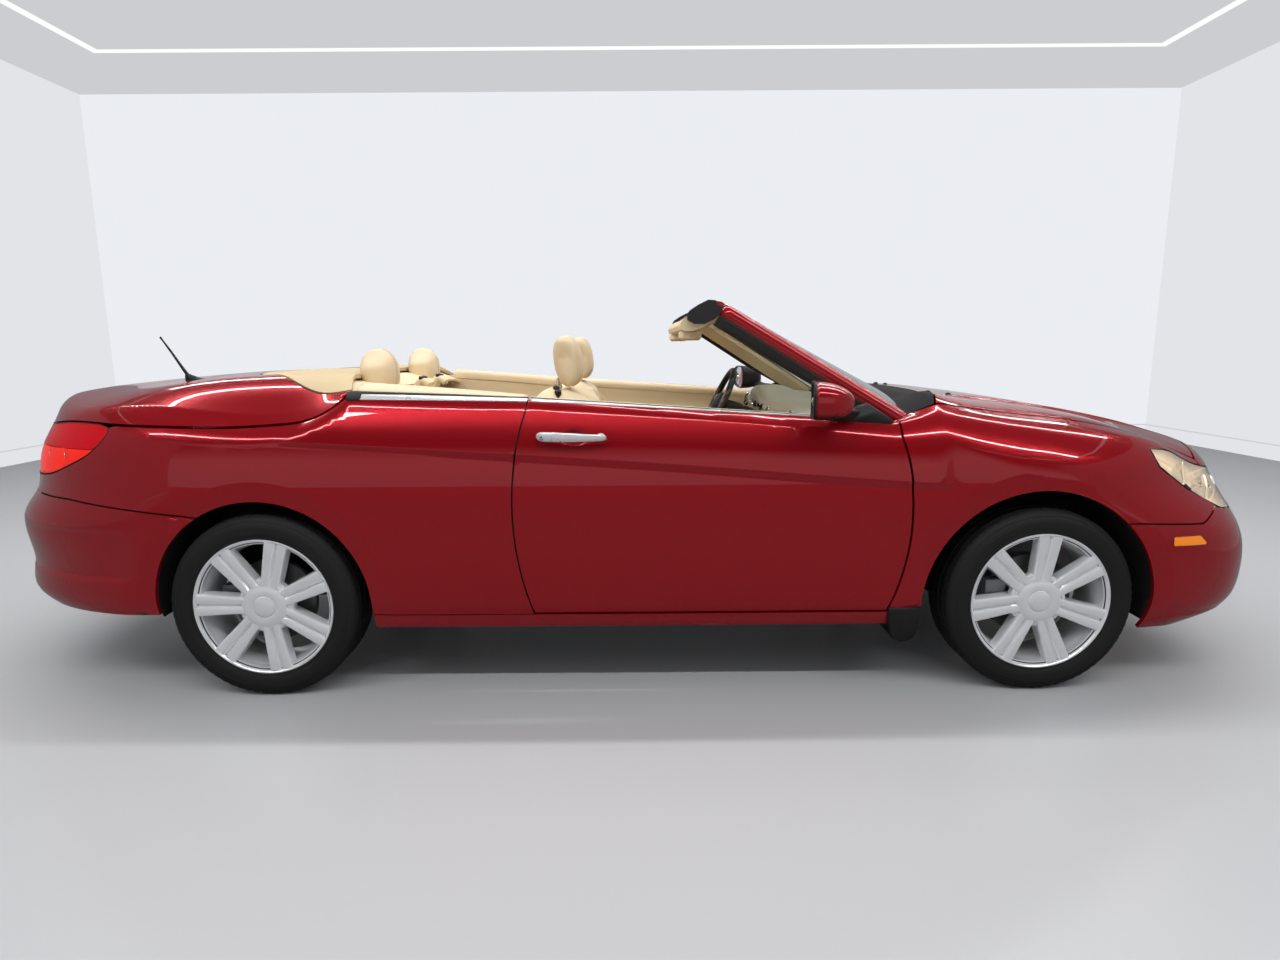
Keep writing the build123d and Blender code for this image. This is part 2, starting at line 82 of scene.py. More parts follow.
def arcPoints(a, b, c, count=14):
    # circle arc from a through b to c
    (ax, ay), (bx, by), (cx, cy) = a, b, c
    d = 2 * (ax * (by - cy) + bx * (cy - ay) + cx * (ay - by))
    sa, sb, sc = ax * ax + ay * ay, bx * bx + by * by, cx * cx + cy * cy
    ox = (sa * (by - cy) + sb * (cy - ay) + sc * (ay - by)) / d
    oy = (sa * (cx - bx) + sb * (ax - cx) + sc * (bx - ax)) / d
    start, mid, end = (math.atan2(p[1] - oy, p[0] - ox) for p in (a, b, c))
    turn = (end - start) % (2 * math.pi)
    if (mid - start) % (2 * math.pi) > turn:
        turn -= 2 * math.pi
    r = math.hypot(ax - ox, ay - oy)
    return [(ox + r * math.cos(start + turn * i / count), oy + r * math.sin(start + turn * i / count))
            for i in range(count + 1)]


def softLine(points, count=24):
    # smooth line through a few points, evenly spaced along its length
    p = np.array(points, float)
    along = np.concatenate([[0], np.cumsum(np.sqrt((np.diff(p, axis=0) ** 2).sum(1)))])
    at = np.linspace(0, along[-1], count + 1)
    return [tuple(q) for q in np.stack([smoothThrough(along, p[:, k])(at) for k in range(p.shape[1])], -1)]


def denser(points, step):
    out = []
    for i, a in enumerate(points):
        b = points[(i + 1) % len(points)]
        pieces = max(1, int(math.ceil(math.hypot(b[0] - a[0], b[1] - a[1]) / step)))
        out += [(a[0] + (b[0] - a[0]) * k / pieces, a[1] + (b[1] - a[1]) * k / pieces) for k in range(pieces)]
    return out


def insideOf(points, outline):
    # even-odd test of many points against one outline
    x, y = points[:, 0], points[:, 1]
    inside = np.zeros(len(points), bool)
    o = np.array(outline)
    for (ax, ay), (bx, by) in zip(o, np.roll(o, -1, axis=0)):
        crosses = (ay > y) != (by > y)
        if by != ay:
            inside ^= crosses & (x < (bx - ax) * (y - ay) / (by - ay) + ax)
    return inside


def smoothStep(low, high, x):
    t = np.clip((x - low) / (high - low), 0, 1)
    return t * t * (3 - 2 * t)


def ringTurns(count):
    # even turns round a circle
    return np.linspace(0, 2 * math.pi, count + 1)[:-1]


def squared(value, power):
    # a sine or cosine drawn out towards a square's corner
    return math.copysign(abs(value) ** power, value)


def turnTo(facing):
    # the rotation that brings +y onto a direction
    return np.array(Vector((0, 1, 0)).rotation_difference(Vector(facing).normalized()).to_matrix())


def coordsOf(mesh):
    co = np.zeros(len(mesh.vertices) * 3)
    mesh.vertices.foreach_get("co", co)
    return co.reshape(-1, 3)


def evaluated(obj):
    # a new mesh of the object with its modifiers
    return bpy.data.meshes.new_from_object(obj.evaluated_get(bpy.context.evaluated_depsgraph_get()))


def applied(obj):
    # the object's modifiers made part of its mesh
    mesh, old = evaluated(obj), obj.data
    obj.modifiers.clear()
    obj.data = mesh
    bpy.data.meshes.remove(old)
    return obj


def linkAll(tree, *links):
    # links of a node tree, each as node, output, node, input
    for source, output, target, given in links:
        tree.links.new(source.outputs[output], target.inputs[given])


def setInputs(node, **values):
    for key, value in values.items():
        node.inputs[key.replace("_", " ")].default_value = value


def newObject(name, verts, faces, material=None, smooth=True):
    mesh = bpy.data.meshes.new(name)
    mesh.from_pydata([tuple(v) for v in verts], [], faces)
    mesh.polygons.foreach_set("use_smooth", [smooth] * len(mesh.polygons))
    obj = bpy.data.objects.new(name, mesh)
    scene.collection.objects.link(obj)
    if material:
        mesh.materials.append(material)
    return obj


# the car's skin, from the same tables as its solids

bodyForm = {"pivotFront": 1.500, "pivotRear": -1.300, "bow": 0.005, "crossPower": 2.6,
            "creaseProud": 0.0110, "creaseHigh": 0.027, "archProud": 0.0070, "archWide": 0.062}
levelRows = np.array([  # height, nose x, nose power, tail x, tail power, half width
    (0.215, 2.300, 4.3, -2.300, 3.0, 0.843), (0.270, 2.415, 4.8, -2.350, 3.0, 0.867),
    (0.330, 2.452, 5.0, -2.440, 3.0, 0.886), (0.424, 2.462, 5.0, -2.448, 3.0, 0.896),
    (0.545, 2.458, 4.4, -2.462, 3.0, 0.902), (0.645, 2.440, 3.0, -2.450, 3.0, 0.903),
    (0.725, 2.425, 2.1, -2.385, 3.0, 0.901), (0.800, 2.400, 1.75, -2.368, 3.0, 0.897),
    (0.900, 2.360, 1.7, -2.345, 2.9, 0.885), (0.985, 2.330, 1.7, -2.310, 2.6, 0.859),
    (1.200, 2.280, 1.7, -2.290, 2.6, 0.770)])
rearRows = np.array([  # x, centre z, z at 0.4, edge y, edge z, shoulder y, shoulder z, z at 0.95
    (-2.480, 1.000, 0.980, 0.500, 0.950, 0.580, 0.920, 0.640),
    (-2.320, 1.052, 1.037, 0.520, 1.002, 0.600, 0.975, 0.700),
    (-2.150, 1.090, 1.072, 0.560, 1.032, 0.640, 1.003, 0.740),
    (-2.000, 1.108, 1.092, 0.600, 1.052, 0.700, 1.020, 0.800),
    (-1.700, 1.134, 1.124, 0.690, 1.086, 0.770, 1.048, 0.860),
    (-1.400, 1.144, 1.138, 0.700, 1.105, 0.800, 1.024, 0.858),
    (-1.100, 1.146, 1.142, 0.720, 1.104, 0.800, 1.035, 0.870),
    (-0.940, 1.140, 1.138, 0.750, 1.104, 0.800, 1.088, 0.900)])
doorRows = np.array([
    rearRows[-1], (-0.311, 1.062, 1.062, 0.780, 1.062, 0.812, 1.062, 0.905),
    (0.943, 0.974, 0.974, 0.780, 0.974, 0.842, 0.974, 0.830)])
frontRows = np.array([
    doorRows[-1], (1.116, 1.052, 1.051, 0.780, 1.037, 0.830, 1.003, 0.860),
    (1.346, 1.044, 1.036, 0.720, 1.003, 0.815, 0.965, 0.800),
    (1.722, 0.992, 0.982, 0.680, 0.953, 0.800, 0.905, 0.740),
    (2.016, 0.931, 0.915, 0.608, 0.871, 0.700, 0.851, 0.600),
    (2.182, 0.886, 0.866, 0.586, 0.806, 0.660, 0.752, 0.520),
    (2.330, 0.836, 0.812, 0.560, 0.745, 0.640, 0.690, 0.450),
    (2.480, 0.745, 0.720, 0.540, 0.660, 0.620, 0.600, 0.380)])
levelCurves = [smoothThrough(levelRows[:, 0], levelRows[:, k]) for k in range(1, 6)]


def straightCurves(rows):
    return [lambda x, k=k: np.interp(x, rows[:, 0], rows[:, k]) for k in range(1, 8)]


def smoothCurves(rows):
    return [smoothThrough(rows[:, 0], rows[:, k]) for k in range(1, 8)]


crownCurves = [(-9.0, -0.94, smoothCurves(rearRows)), (-0.94, 0.943, straightCurves(doorRows)),
               (0.943, 1.116, straightCurves(frontRows[:2])), (1.116, 9.0, smoothCurves(frontRows[1:]))]


def deckCrisp(x):
    return 0.85 * smoothStep(-2.42, -2.25, x) * (1 - smoothStep(-1.30, -1.02, x))


def topHeight(x, y):
    # height of the crown over a place in plan
    x, y = np.broadcast_arrays(np.asarray(x, float), np.abs(np.asarray(y, float)))
    masks = [(x >= lo) & (x < hi) for lo, hi, _ in crownCurves]
    cz, mz, ey, ez, sy, sz, oz = (np.select(masks, [c[k](x) for _, _, c in crownCurves]) for k in range(7))
    ys = np.stack([np.zeros_like(x), np.full_like(x, 0.4), ey, sy, np.full_like(x, 0.95)], -1)
    zs = np.stack([cz, mz, ez, sz, oz], -1)
    h = np.diff(ys)
    slope = np.diff(zs) / h
    m = np.zeros_like(zs)
    m[..., 1:-1] = (h[..., :-1] * slope[..., 1:] + h[..., 1:] * slope[..., :-1]) / (h[..., :-1] + h[..., 1:])
    m[..., -1] = slope[..., -1]
    i = np.clip((y[..., None] >= ys[..., 1:]).sum(-1), 0, 3)

    def pick(a, j):
        return np.take_along_axis(a, j[..., None], -1)[..., 0]
    crisp = deckCrisp(x)
    z0, z1, m0, m1, step = pick(zs, i), pick(zs, i + 1), pick(m, i), pick(m, i + 1), pick(h, i)
    m1 = np.where(i == 2, m1 + (slope[..., 2] - m1) * crisp, m1)  # the deck's shoulder keeps an edge
    m0 = np.where(i == 3, m0 + (slope[..., 3] - m0) * crisp, m0)
    t = np.clip((y - pick(ys, i)) / step, 0, 1.3)
    return ((2 * t**3 - 3 * t**2 + 1) * z0 + (t**3 - 2 * t**2 + t) * step * m0
            + (-2 * t**3 + 3 * t**2) * z1 + (t**3 - t**2) * step * m1)


frontArch, rearArch = (1.474, 0.325, 0.415), (-1.280, 0.335, 0.386)  # centre x, centre z, radius
handleHollow = {"x": -0.163, "z": 0.938, "halfLong": 0.052, "halfHigh": 0.031, "deep": 0.016}
creaseLine = smoothThrough([-1.535, -0.890, -0.376, 0.338, 1.000, 1.132],
                           [0.946, 0.914, 0.883, 0.832, 0.778, 0.770])


def proudOf(x, z):
    # the side's relief: a crease facing down, broad arch lips, the bumpers' lips and the handle's hollow
    f = bodyForm
    drop = (creaseLine(x) - z) / (1 - 0.35 * smoothStep(0.3, 1.2, -x))
    fade, part = smoothStep(-1.75, -1.30, x) * (1 - smoothStep(1.08, 1.17, x)), drop / f["creaseHigh"]
    out = f["creaseProud"] * fade * (1 - smoothStep(0, 1, part) * 0.35 - 0.65 * np.clip(part, 0, 1))
    out = out * (1 - smoothStep(0.05, 0.20, -drop))
    for cx, cz, r in (frontArch, rearArch):
        beyond = np.hypot(x - cx, z - cz) - r
        lip = f["archProud"] * (1 - np.clip((beyond - 0.006) / f["archWide"], 0, 1)) * smoothStep(0.20, 0.3, z)
        out = out * smoothStep(0.060, 0.075, beyond) - lip
    front, rear = smoothStep(1.93, 2.00, x), smoothStep(1.72, 1.80, -x)
    out = out + 0.006 * front * (1 - smoothStep(0.270, 0.280, z))
    out = out + 0.007 * rear * (1 - smoothStep(0.428, 0.438, z))
    out = out - 0.005 * rear * smoothStep(0.430, 0.445, z) * (1 - smoothStep(0.600, 0.622, z))
    s = handleHollow
    scoop = np.hypot((x - s["x"]) / s["halfLong"], (z - s["z"]) / s["halfHigh"])
    return out - s["deep"] * (1 - smoothStep(0.35, 1.0, scoop))


def planRadius(alpha, z, front):
    # distance from the pivot to the outline at a height, in the direction alpha
    nose, nosePower, tail, tailPower, width = (c(z) for c in levelCurves)
    reach = nose - bodyForm["pivotFront"] if front else bodyForm["pivotRear"] - tail
    power = nosePower if front else tailPower
    c, s = np.abs(np.cos(alpha)), np.abs(np.sin(alpha))
    low, high = np.zeros_like(c * z), np.full_like(c * z, 3.0)
    for _ in range(30):
        mid = (low + high) / 2
        out = (mid * c / reach) ** power + (mid * s / width) ** bodyForm["crossPower"] > 1
        high, low = np.where(out, mid, high), np.where(out, low, mid)
    return low


def endTable(front):
    # arc length round the end of the car against the angle about the pivot
    alpha = np.linspace(math.pi / 2, 0, 400)
    r = planRadius(alpha, np.full(400, 0.545), front)
    length = np.concatenate([[0], np.cumsum(np.hypot(np.diff(r * np.cos(alpha)), np.diff(r * np.sin(alpha))))])
    return length, alpha


frontLength, frontAlpha = endTable(True)
rearLength, rearAlpha = endTable(False)
noseU = bodyForm["pivotFront"] + frontLength[-1]
tailU = bodyForm["pivotRear"] - rearLength[-1]
carEnds = ((True, bodyForm["pivotFront"], frontLength, frontAlpha, 1),
           (False, bodyForm["pivotRear"], rearLength, rearAlpha, -1))


def foldU(u):
    # beyond the nose or the tail the other side repeats
    u = np.where(u > noseU, 2 * noseU - u, u)
    return np.where(u < tailU, 2 * tailU - u, u)


def outlinePoint(column, z):
    # place in plan at a height, for a column: x amidships, arc length round the ends
    column, z = np.broadcast_arrays(np.asarray(column, float), np.asarray(z, float))
    u = foldU(column)
    middle = (bodyForm["pivotFront"] + bodyForm["pivotRear"]) / 2
    half = (bodyForm["pivotFront"] - bodyForm["pivotRear"]) / 2
    x = np.array(u)
    y = levelCurves[4](z) + bodyForm["bow"] * np.clip(1 - ((u - middle) / half) ** 2, 0, 1)
    for front, pivot, length, alpha, way in carEnds:
        m = (u - pivot) * way > 0
        if m.any():
            a = np.interp((u[m] - pivot) * way, length, alpha)
            r = planRadius(a, z[m], front)
            x[m] = pivot + way * r * np.cos(a)
            y[m] = r * np.sin(a)
    return x, np.where(column == u, y, -y)


roundAt = smoothThrough([-2.9, -2.2, -1.7, -0.95, -0.3, 0.9, 1.2, 1.7, 2.3, 2.9],
                        [0.030, 0.035, 0.040, 0.022, 0.020, 0.020, 0.050, 0.080, 0.045, 0.045])


def crossingTable():
    # height at which the side meets the crown, column by column
    u = np.linspace(tailU, noseU, 900)
    low, high = np.full(900, 0.5), np.full(900, 1.19)
    for _ in range(30):
        mid = (low + high) / 2
        above = mid > topHeight(*outlinePoint(u, mid))
        high, low = np.where(above, mid, high), np.where(above, low, mid)
    return u, low


crossU, crossZ = crossingTable()


def crossing(u):
    return np.interp(foldU(u), crossU, crossZ)


def inward(u, d):
    # place on the crown at a distance d inside the shoulder crossing
    x, y = outlinePoint(u, crossing(u))
    pivot = np.clip(x, bodyForm["pivotRear"], bodyForm["pivotFront"])
    r = np.hypot(x - pivot, y)
    k = np.maximum(r - d, 1e-4) / r
    px, py = pivot + (x - pivot) * k, y * k
    return np.stack([px, py, topHeight(px, py)], -1)


def sidePoint(u, z):
    x, y = outlinePoint(u, z)
    proud = proudOf(x, z) * smoothStep(0.45, 0.75, np.abs(y))
    return np.stack([x, y + proud * np.sign(y), z + 0 * x], -1)


def skin(u, t):
    # t is the height up the side, then the distance in over the crown
    u, t = np.broadcast_arrays(np.asarray(u, float), np.asarray(t, float))
    zc, r = crossing(u), roundAt(foldU(u))
    low, high = zc - r, zc + r
    side = sidePoint(u, np.minimum(t, low))
    crown = inward(u, np.maximum(t - zc, r))
    corner = sidePoint(u, zc)
    s = np.clip((t - low) / (2 * r), 0, 1)[..., None]
    bend = (1 - s) ** 2 * side + 2 * s * (1 - s) * corner + s**2 * crown
    return np.where((t <= low)[..., None], side, np.where((t >= high)[..., None], crown, bend))


def uOfSide(x, z):
    # the column of a side point given in side view
    x, z = np.asarray(x, float), np.minimum(np.asarray(z, float), 1.15)
    nose, nosePower, tail, tailPower, width = (c(z) for c in levelCurves)
    out = np.array(x)
    for reach, power, end in ((nose - bodyForm["pivotFront"], nosePower, carEnds[0]),
                              (bodyForm["pivotRear"] - tail, tailPower, carEnds[1])):
        _, pivot, length, alpha, way = end
        beyond = (x - pivot) * way
        k = np.clip(beyond / reach, 0, 1)
        a = np.arctan2(width * (1 - k**power) ** (1 / bodyForm["crossPower"]), np.maximum(beyond, 1e-9))
        out = np.where(beyond > 0, pivot + way * np.interp(-a, -alpha, length), out)
    return out


def fromSide(points):
    # side view points (x, z) to (u, t) on the skin
    p = np.array(points, float)
    x, z = p[:, 0], p[:, 1]
    u = uOfSide(x, z)
    for _ in range(3):
        u = uOfSide(x, np.minimum(z, crossing(u)))
    low, high = np.full(len(u), 0.15), crossing(u) + 0.25
    for _ in range(30):
        mid = (low + high) / 2
        above = skin(u, mid)[:, 2] > z
        high, low = np.where(above, mid, high), np.where(above, low, mid)
    return list(zip(u, np.where(z < crossing(u) - 0.1, z, low)))


def fromPlan(points):
    # plan points (x, y) on the crown to (u, t) on the skin
    p = np.array(points, float)
    x, y = p[:, 0], np.abs(p[:, 1])
    u = np.array(x)
    for _, pivot, length, alpha, way in carEnds:
        beyond = (x - pivot) * way
        a = np.arctan2(y, np.maximum(beyond, 1e-9))
        u = np.where(beyond > 0, pivot + way * np.interp(-a, -alpha, length), u)
    low, high = crossing(u) - roundAt(u), crossing(u) + 1.2
    pivot = np.clip(x, bodyForm["pivotRear"], bodyForm["pivotFront"])
    want = np.hypot(x - pivot, y)
    for _ in range(30):
        mid = (low + high) / 2
        q = skin(u, mid)
        far = np.hypot(q[:, 0] - pivot, q[:, 1]) < want
        high, low = np.where(far, mid, high), np.where(far, low, mid)
    return list(zip(u, low))


def overCrown(x, y):
    # the crown as a height over the plan, rounded down into the side at its edge
    x, y = np.broadcast_arrays(np.asarray(x, float), np.asarray(y, float))
    return np.stack([x, y, topHeight(x, y)], -1)


print("skin tables ready: nose", round(noseU, 3), "tail", round(tailU, 3))


def trimmedPanel(name, outline, mapping, material, depth=0.012, step=0.022, holes=(), rows=(), edgeStep=0.016):
    # a panel cut from the skin: even points inside a trimmed outline, its back set in by the depth
    loops = [denser(loop, edgeStep) for loop in (outline, *holes)]
    edge = np.array([p for loop in loops for p in loop])
    lo, hi = edge.min(0), edge.max(0)
    grid = np.stack(np.meshgrid(np.arange(lo[0] + step / 2, hi[0], step),
                                np.arange(lo[1] + step / 2, hi[1], step)), -1).reshape(-1, 2)
    if len(rows):
        rowPoints = np.array([p for row in rows for p in row])
        keep = np.ones(len(grid), bool)
        for i in range(0, len(grid), 4000):
            d = np.abs(grid[i:i + 4000, None, :] - rowPoints[None])
            keep[i:i + 4000] = ~((d[..., 0] < step * 0.6) & (d[..., 1] < step * 0.35)).any(1)
        grid = np.concatenate([grid[keep], rowPoints])
    inside = insideOf(grid, loops[0])
    for loop in loops[1:]:
        inside &= ~insideOf(grid, loop)
    grid = grid[inside]
    near = np.ones(len(grid), bool)
    for i in range(0, len(grid), 3000):
        d = grid[i:i + 3000, None, :] - edge[None]
        near[i:i + 3000] = (d**2).sum(-1).min(1) > (0.45 * edgeStep) ** 2
    points = np.concatenate([edge, grid[near]])
    edges, start = [], 0
    for loop in loops:
        edges += [(start + i, start + (i + 1) % len(loop)) for i in range(len(loop))]
        start += len(loop)
    flat, _, faces, _, _, _ = delaunay_2d_cdt([Vector(p) for p in points], edges, [], 0, 1e-7)
    flat = np.array([tuple(p) for p in flat])
    faces = np.array([list(f) for f in faces])
    middle = flat[faces].mean(1)
    ok = insideOf(middle, loops[0])
    for loop in loops[1:]:
        ok &= ~insideOf(middle, loop)
    faces = faces[ok]
    used = np.unique(faces)
    index = np.full(len(flat), -1)
    index[used] = np.arange(len(used))
    flat, faces = flat[used], index[faces]
    e = 0.0012
    place = mapping(flat[:, 0], flat[:, 1])
    du = mapping(flat[:, 0] + e, flat[:, 1]) - mapping(flat[:, 0] - e, flat[:, 1])
    dv = mapping(flat[:, 0], flat[:, 1] + e) - mapping(flat[:, 0], flat[:, 1] - e)
    normal = np.cross(du, dv)
    normal /= np.maximum(np.linalg.norm(normal, axis=1, keepdims=True), 1e-12)
    hub = np.array([np.clip(place[:, 0].mean(), -1.2, 1.2), 0.0, 0.45])
    if ((place - hub) * normal).sum(1).mean() < 0:
        normal = -normal
    tri = place[faces]
    facing = np.cross(tri[:, 1] - tri[:, 0], tri[:, 2] - tri[:, 0])
    wrong = (facing * normal[faces].mean(1)).sum(1) < 0
    faces[wrong] = faces[wrong][:, ::-1]
    count = set()
    for f in faces:
        count.update(((f[0], f[1]), (f[1], f[2]), (f[2], f[0])))
    border = [(a, b) for a, b in count if (b, a) not in count]
    border.sort()
    n = len(place)
    verts = np.concatenate([place, place - normal * depth])
    tris = [tuple(f) for f in faces] + [tuple(f[::-1] + n) for f in faces]
    rim = [(b, a, a + n, b + n) for a, b in border]
    obj = newObject(name, verts, tris + rim, material)
    both = np.concatenate([normal, -normal])
    loopNormals = [tuple(both[i]) for f in tris for i in f]
    for f in rim:
        a, b, c = (verts[i] for i in f[:3])
        out = np.cross(b - a, c - a)
        loopNormals += [tuple(out / max(np.linalg.norm(out), 1e-12))] * 4
    obj.data.normals_split_custom_set(loopNormals)
    return obj


def mirrorCopy(obj, name):
    # the other side's twin, its faces and normals turned to match
    mesh = obj.data
    custom = np.zeros(len(mesh.loops) * 3)
    mesh.corner_normals.foreach_get("vector", custom)
    custom = custom.reshape(-1, 3) * (1, -1, 1)
    faces, normals, slots, smooth = [], [], [], []
    for p in mesh.polygons:
        loop = list(p.loop_indices)[::-1]
        faces.append([mesh.loops[i].vertex_index for i in loop])
        normals += [tuple(custom[i]) for i in loop]
        slots.append(p.material_index)
        smooth.append(p.use_smooth)
    twin = newObject(name, coordsOf(mesh) * (1, -1, 1), faces)
    for m in mesh.materials:
        twin.data.materials.append(m)
    twin.data.polygons.foreach_set("material_index", slots)
    twin.data.polygons.foreach_set("use_smooth", smooth)
    if mesh.has_custom_normals:
        twin.data.normals_split_custom_set(normals)
    return twin


def rideAs(body, *pieces, node=None):
    for piece in pieces:
        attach(piece, body)
        if node:
            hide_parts(node)


def pairOf(piece, body, *nodes):
    # a left piece and its right twin, each on its own side's body
    twin = mirrorCopy(piece, piece.name.replace("left", "right"))
    for obj, word in ((piece, "left"), (twin, "right")):
        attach(obj, body.replace("left", word))
        if nodes:
            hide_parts(*[n.replace("left", word) for n in nodes])


# shader effects that several finishes share

def effectGroup(name, inputs, outputs):
    group = bpy.data.node_groups.new(name, "ShaderNodeTree")
    for label, kind, value in inputs:
        socket = group.interface.new_socket(name=label, in_out="INPUT", socket_type=kind)
        socket.default_value = value
    for label, kind in outputs:
        group.interface.new_socket(name=label, in_out="OUTPUT", socket_type=kind)
    return group, group.nodes.new("NodeGroupInput"), group.nodes.new("NodeGroupOutput")


def mottleEffect():
    # two tones and two roughnesses mixed by soft noise, with a fine height for bump
    group, given, out = effectGroup(
        "mottle", [("ColorA", "NodeSocketColor", (0.5, 0.5, 0.5, 1)),
                   ("ColorB", "NodeSocketColor", (0.4, 0.4, 0.4, 1)),
                   ("Scale", "NodeSocketFloat", 4.0), ("RoughLow", "NodeSocketFloat", 0.3),
                   ("RoughHigh", "NodeSocketFloat", 0.4), ("FineScale", "NodeSocketFloat", 300.0)],
        [("Color", "NodeSocketColor"), ("Roughness", "NodeSocketFloat"), ("Height", "NodeSocketFloat")])
    place, broad, fine, mix, spread = (group.nodes.new("ShaderNode" + kind) for kind in
                                       ("TexCoord", "TexNoise", "TexNoise", "Mix", "MapRange"))
    mix.data_type = "RGBA"
    setInputs(broad, Detail=6.0)
    setInputs(fine, Detail=3.0)
    setInputs(spread, From_Min=0.3, From_Max=0.7)
    linkAll(group, (place, "Object", broad, "Vector"), (place, "Object", fine, "Vector"),
            (given, "Scale", broad, "Scale"),
            (given, "FineScale", fine, "Scale"), (broad, "Fac", mix, "Factor"), (given, "ColorA", mix, "A"),
            (given, "ColorB", mix, "B"), (mix, "Result", out, "Color"), (broad, "Fac", spread, "Value"),
            (given, "RoughLow", spread, "To Min"), (given, "RoughHigh", spread, "To Max"),
            (spread, "Result", out, "Roughness"), (fine, "Fac", out, "Height"))
    return group


mottle = mottleEffect()


def finish(name, colorA, colorB, rough=(0.3, 0.4), scale=4.0, fine=300.0, bump=0.0, **sockets):
    # a finish whose colour, roughness and grain vary; everything even is set on the shader itself
    material = bpy.data.materials.new(name)
    material.use_nodes = True
    tree = material.node_tree
    shader, effect = tree.nodes["Principled BSDF"], tree.nodes.new("ShaderNodeGroup")
    effect.node_tree = mottle
    setInputs(effect, ColorA=(*colorA, 1), ColorB=(*colorB, 1), Scale=scale, RoughLow=rough[0],
              RoughHigh=rough[1], FineScale=fine)
    linkAll(tree, (effect, "Color", shader, "Base Color"), (effect, "Roughness", shader, "Roughness"))
    if bump:
        relief = tree.nodes.new("ShaderNodeBump")
        setInputs(relief, Strength=bump, Distance=0.0006)
        linkAll(tree, (effect, "Height", relief, "Height"), (relief, "Normal", shader, "Normal"))
    setInputs(shader, **sockets)
    return material


def colourWhere(material, kind, output, colour, blend="MIX"):
    # another colour mixed into the base by the output of a new node, which it gives back
    tree = material.node_tree
    shader = tree.nodes["Principled BSDF"]
    came = shader.inputs["Base Color"].links[0].from_node
    by, mix = tree.nodes.new(kind), tree.nodes.new("ShaderNodeMix")
    mix.data_type, mix.blend_type = "RGBA", blend
    linkAll(tree, (by, output, mix, "Factor"), (came, "Color", mix, "A"), (mix, "Result", shader, "Base Color"))
    mix.inputs["B"].default_value = (*colour, 1)
    return by


redPaint = finish("redPaint", (0.350, 0.0040, 0.0100), (0.340, 0.0036, 0.0092), (0.24, 0.26), 3.0, 900.0, 0.0,
                  Metallic=0.45, Coat_Weight=1.0, Coat_Roughness=0.015, Specular_IOR_Level=0.15)
blackTrim = finish("blackTrim", (0.009, 0.009, 0.010), (0.013, 0.013, 0.014), (0.40, 0.52), 6.0, 420.0, 0.3,
                   Specular_IOR_Level=0.35)
darkPlastic = finish("darkPlastic", (0.016, 0.014, 0.012), (0.022, 0.019, 0.016), (0.5, 0.62), 5.0, 500.0, 0.35,
                     Specular_IOR_Level=0.3)
rubberSeal = finish("rubberSeal", (0.010, 0.010, 0.010), (0.018, 0.018, 0.018), (0.55, 0.7), 8.0, 260.0, 0.3)
chromeTrim = finish("chromeTrim", (0.78, 0.78, 0.79), (0.70, 0.70, 0.71), (0.05, 0.10), 9.0, 600.0, 0.0,
                    Metallic=1.0)
brightAlloy = finish("brightAlloy", (0.96, 0.965, 0.99), (0.92, 0.925, 0.95), (0.20, 0.24), 7.0, 700.0, 0.0,
                     Metallic=0.5, Coat_Weight=0.4, Coat_Roughness=0.08)
stripAlloy = finish("stripAlloy", (0.80, 0.80, 0.80), (0.74, 0.74, 0.74), (0.26, 0.34), 9.0, 600.0, 0.0,
                    Metallic=0.55)
castAlloy = finish("castAlloy", (0.36, 0.36, 0.37), (0.28, 0.28, 0.29), (0.45, 0.6), 12.0, 220.0, 0.5,
                   Metallic=0.8)
tyreRubber = finish("tyreRubber", (0.0085, 0.0085, 0.0088), (0.0125, 0.0122, 0.0120), (0.55, 0.70), 5.0, 340.0,
                    0.4, Specular_IOR_Level=0.35)
coverTrim = finish("coverTrim", (0.60, 0.455, 0.25), (0.575, 0.43, 0.235), (0.5, 0.62), 5.0, 420.0, 0.4)
steelPart = finish("steelPart", (0.20, 0.20, 0.21), (0.14, 0.14, 0.14), (0.4, 0.55), 9.0, 240.0, 0.3,
                   Metallic=0.9)
underSeal = finish("underSeal", (0.010, 0.010, 0.011), (0.016, 0.016, 0.015), (0.7, 0.85), 6.0, 160.0, 0.5,
                   Specular_IOR_Level=0.2)


def rowsOver(uFrom, uTo, step=0.022, parts=(-1.0, -0.6, -0.2, 0.2, 0.6, 1.0)):
    # extra points where the side rolls over into the crown
    u = np.arange(uFrom + step / 2, uTo, step)
    zc, r = crossing(u), roundAt(foldU(u))
    return [list(zip(u, zc + r * k)) for k in parts]


def fromEnd(points, front=True):
    # (y, z) points on the nose or the tail to (u, t)
    p = np.array(points, float)
    pivot, end = (bodyForm["pivotFront"], noseU) if front else (bodyForm["pivotRear"], tailU)
    near, far = np.full(len(p), pivot), np.full(len(p), end)
    for _ in range(40):
        mid = (near + far) / 2
        wide = outlinePoint(mid, p[:, 1])[1] > p[:, 0]
        near, far = np.where(wide, mid, near), np.where(wide, far, mid)
    return list(zip(near, p[:, 1]))


def bothSides(path, centre):
    # a path from the bottom to the top on the left, then back down on the right
    return path + [(2 * centre - u, t) for u, t in path[::-1] if abs(u - centre) > 1e-6]


def archPart(arch, startDeg, endDeg, count=40):
    cx, cz, r = arch
    turns = np.radians(np.linspace(startDeg, endDeg, count + 1))
    return [(cx + r * math.cos(a), cz + r * math.sin(a)) for a in turns]


def overBelt(x, y):
    # the t of a place on the crown beside the cabin, at a distance y from the middle
    x = np.asarray(x, float)
    side = outlinePoint(x, crossing(x))[1]
    return crossing(x) + side - y


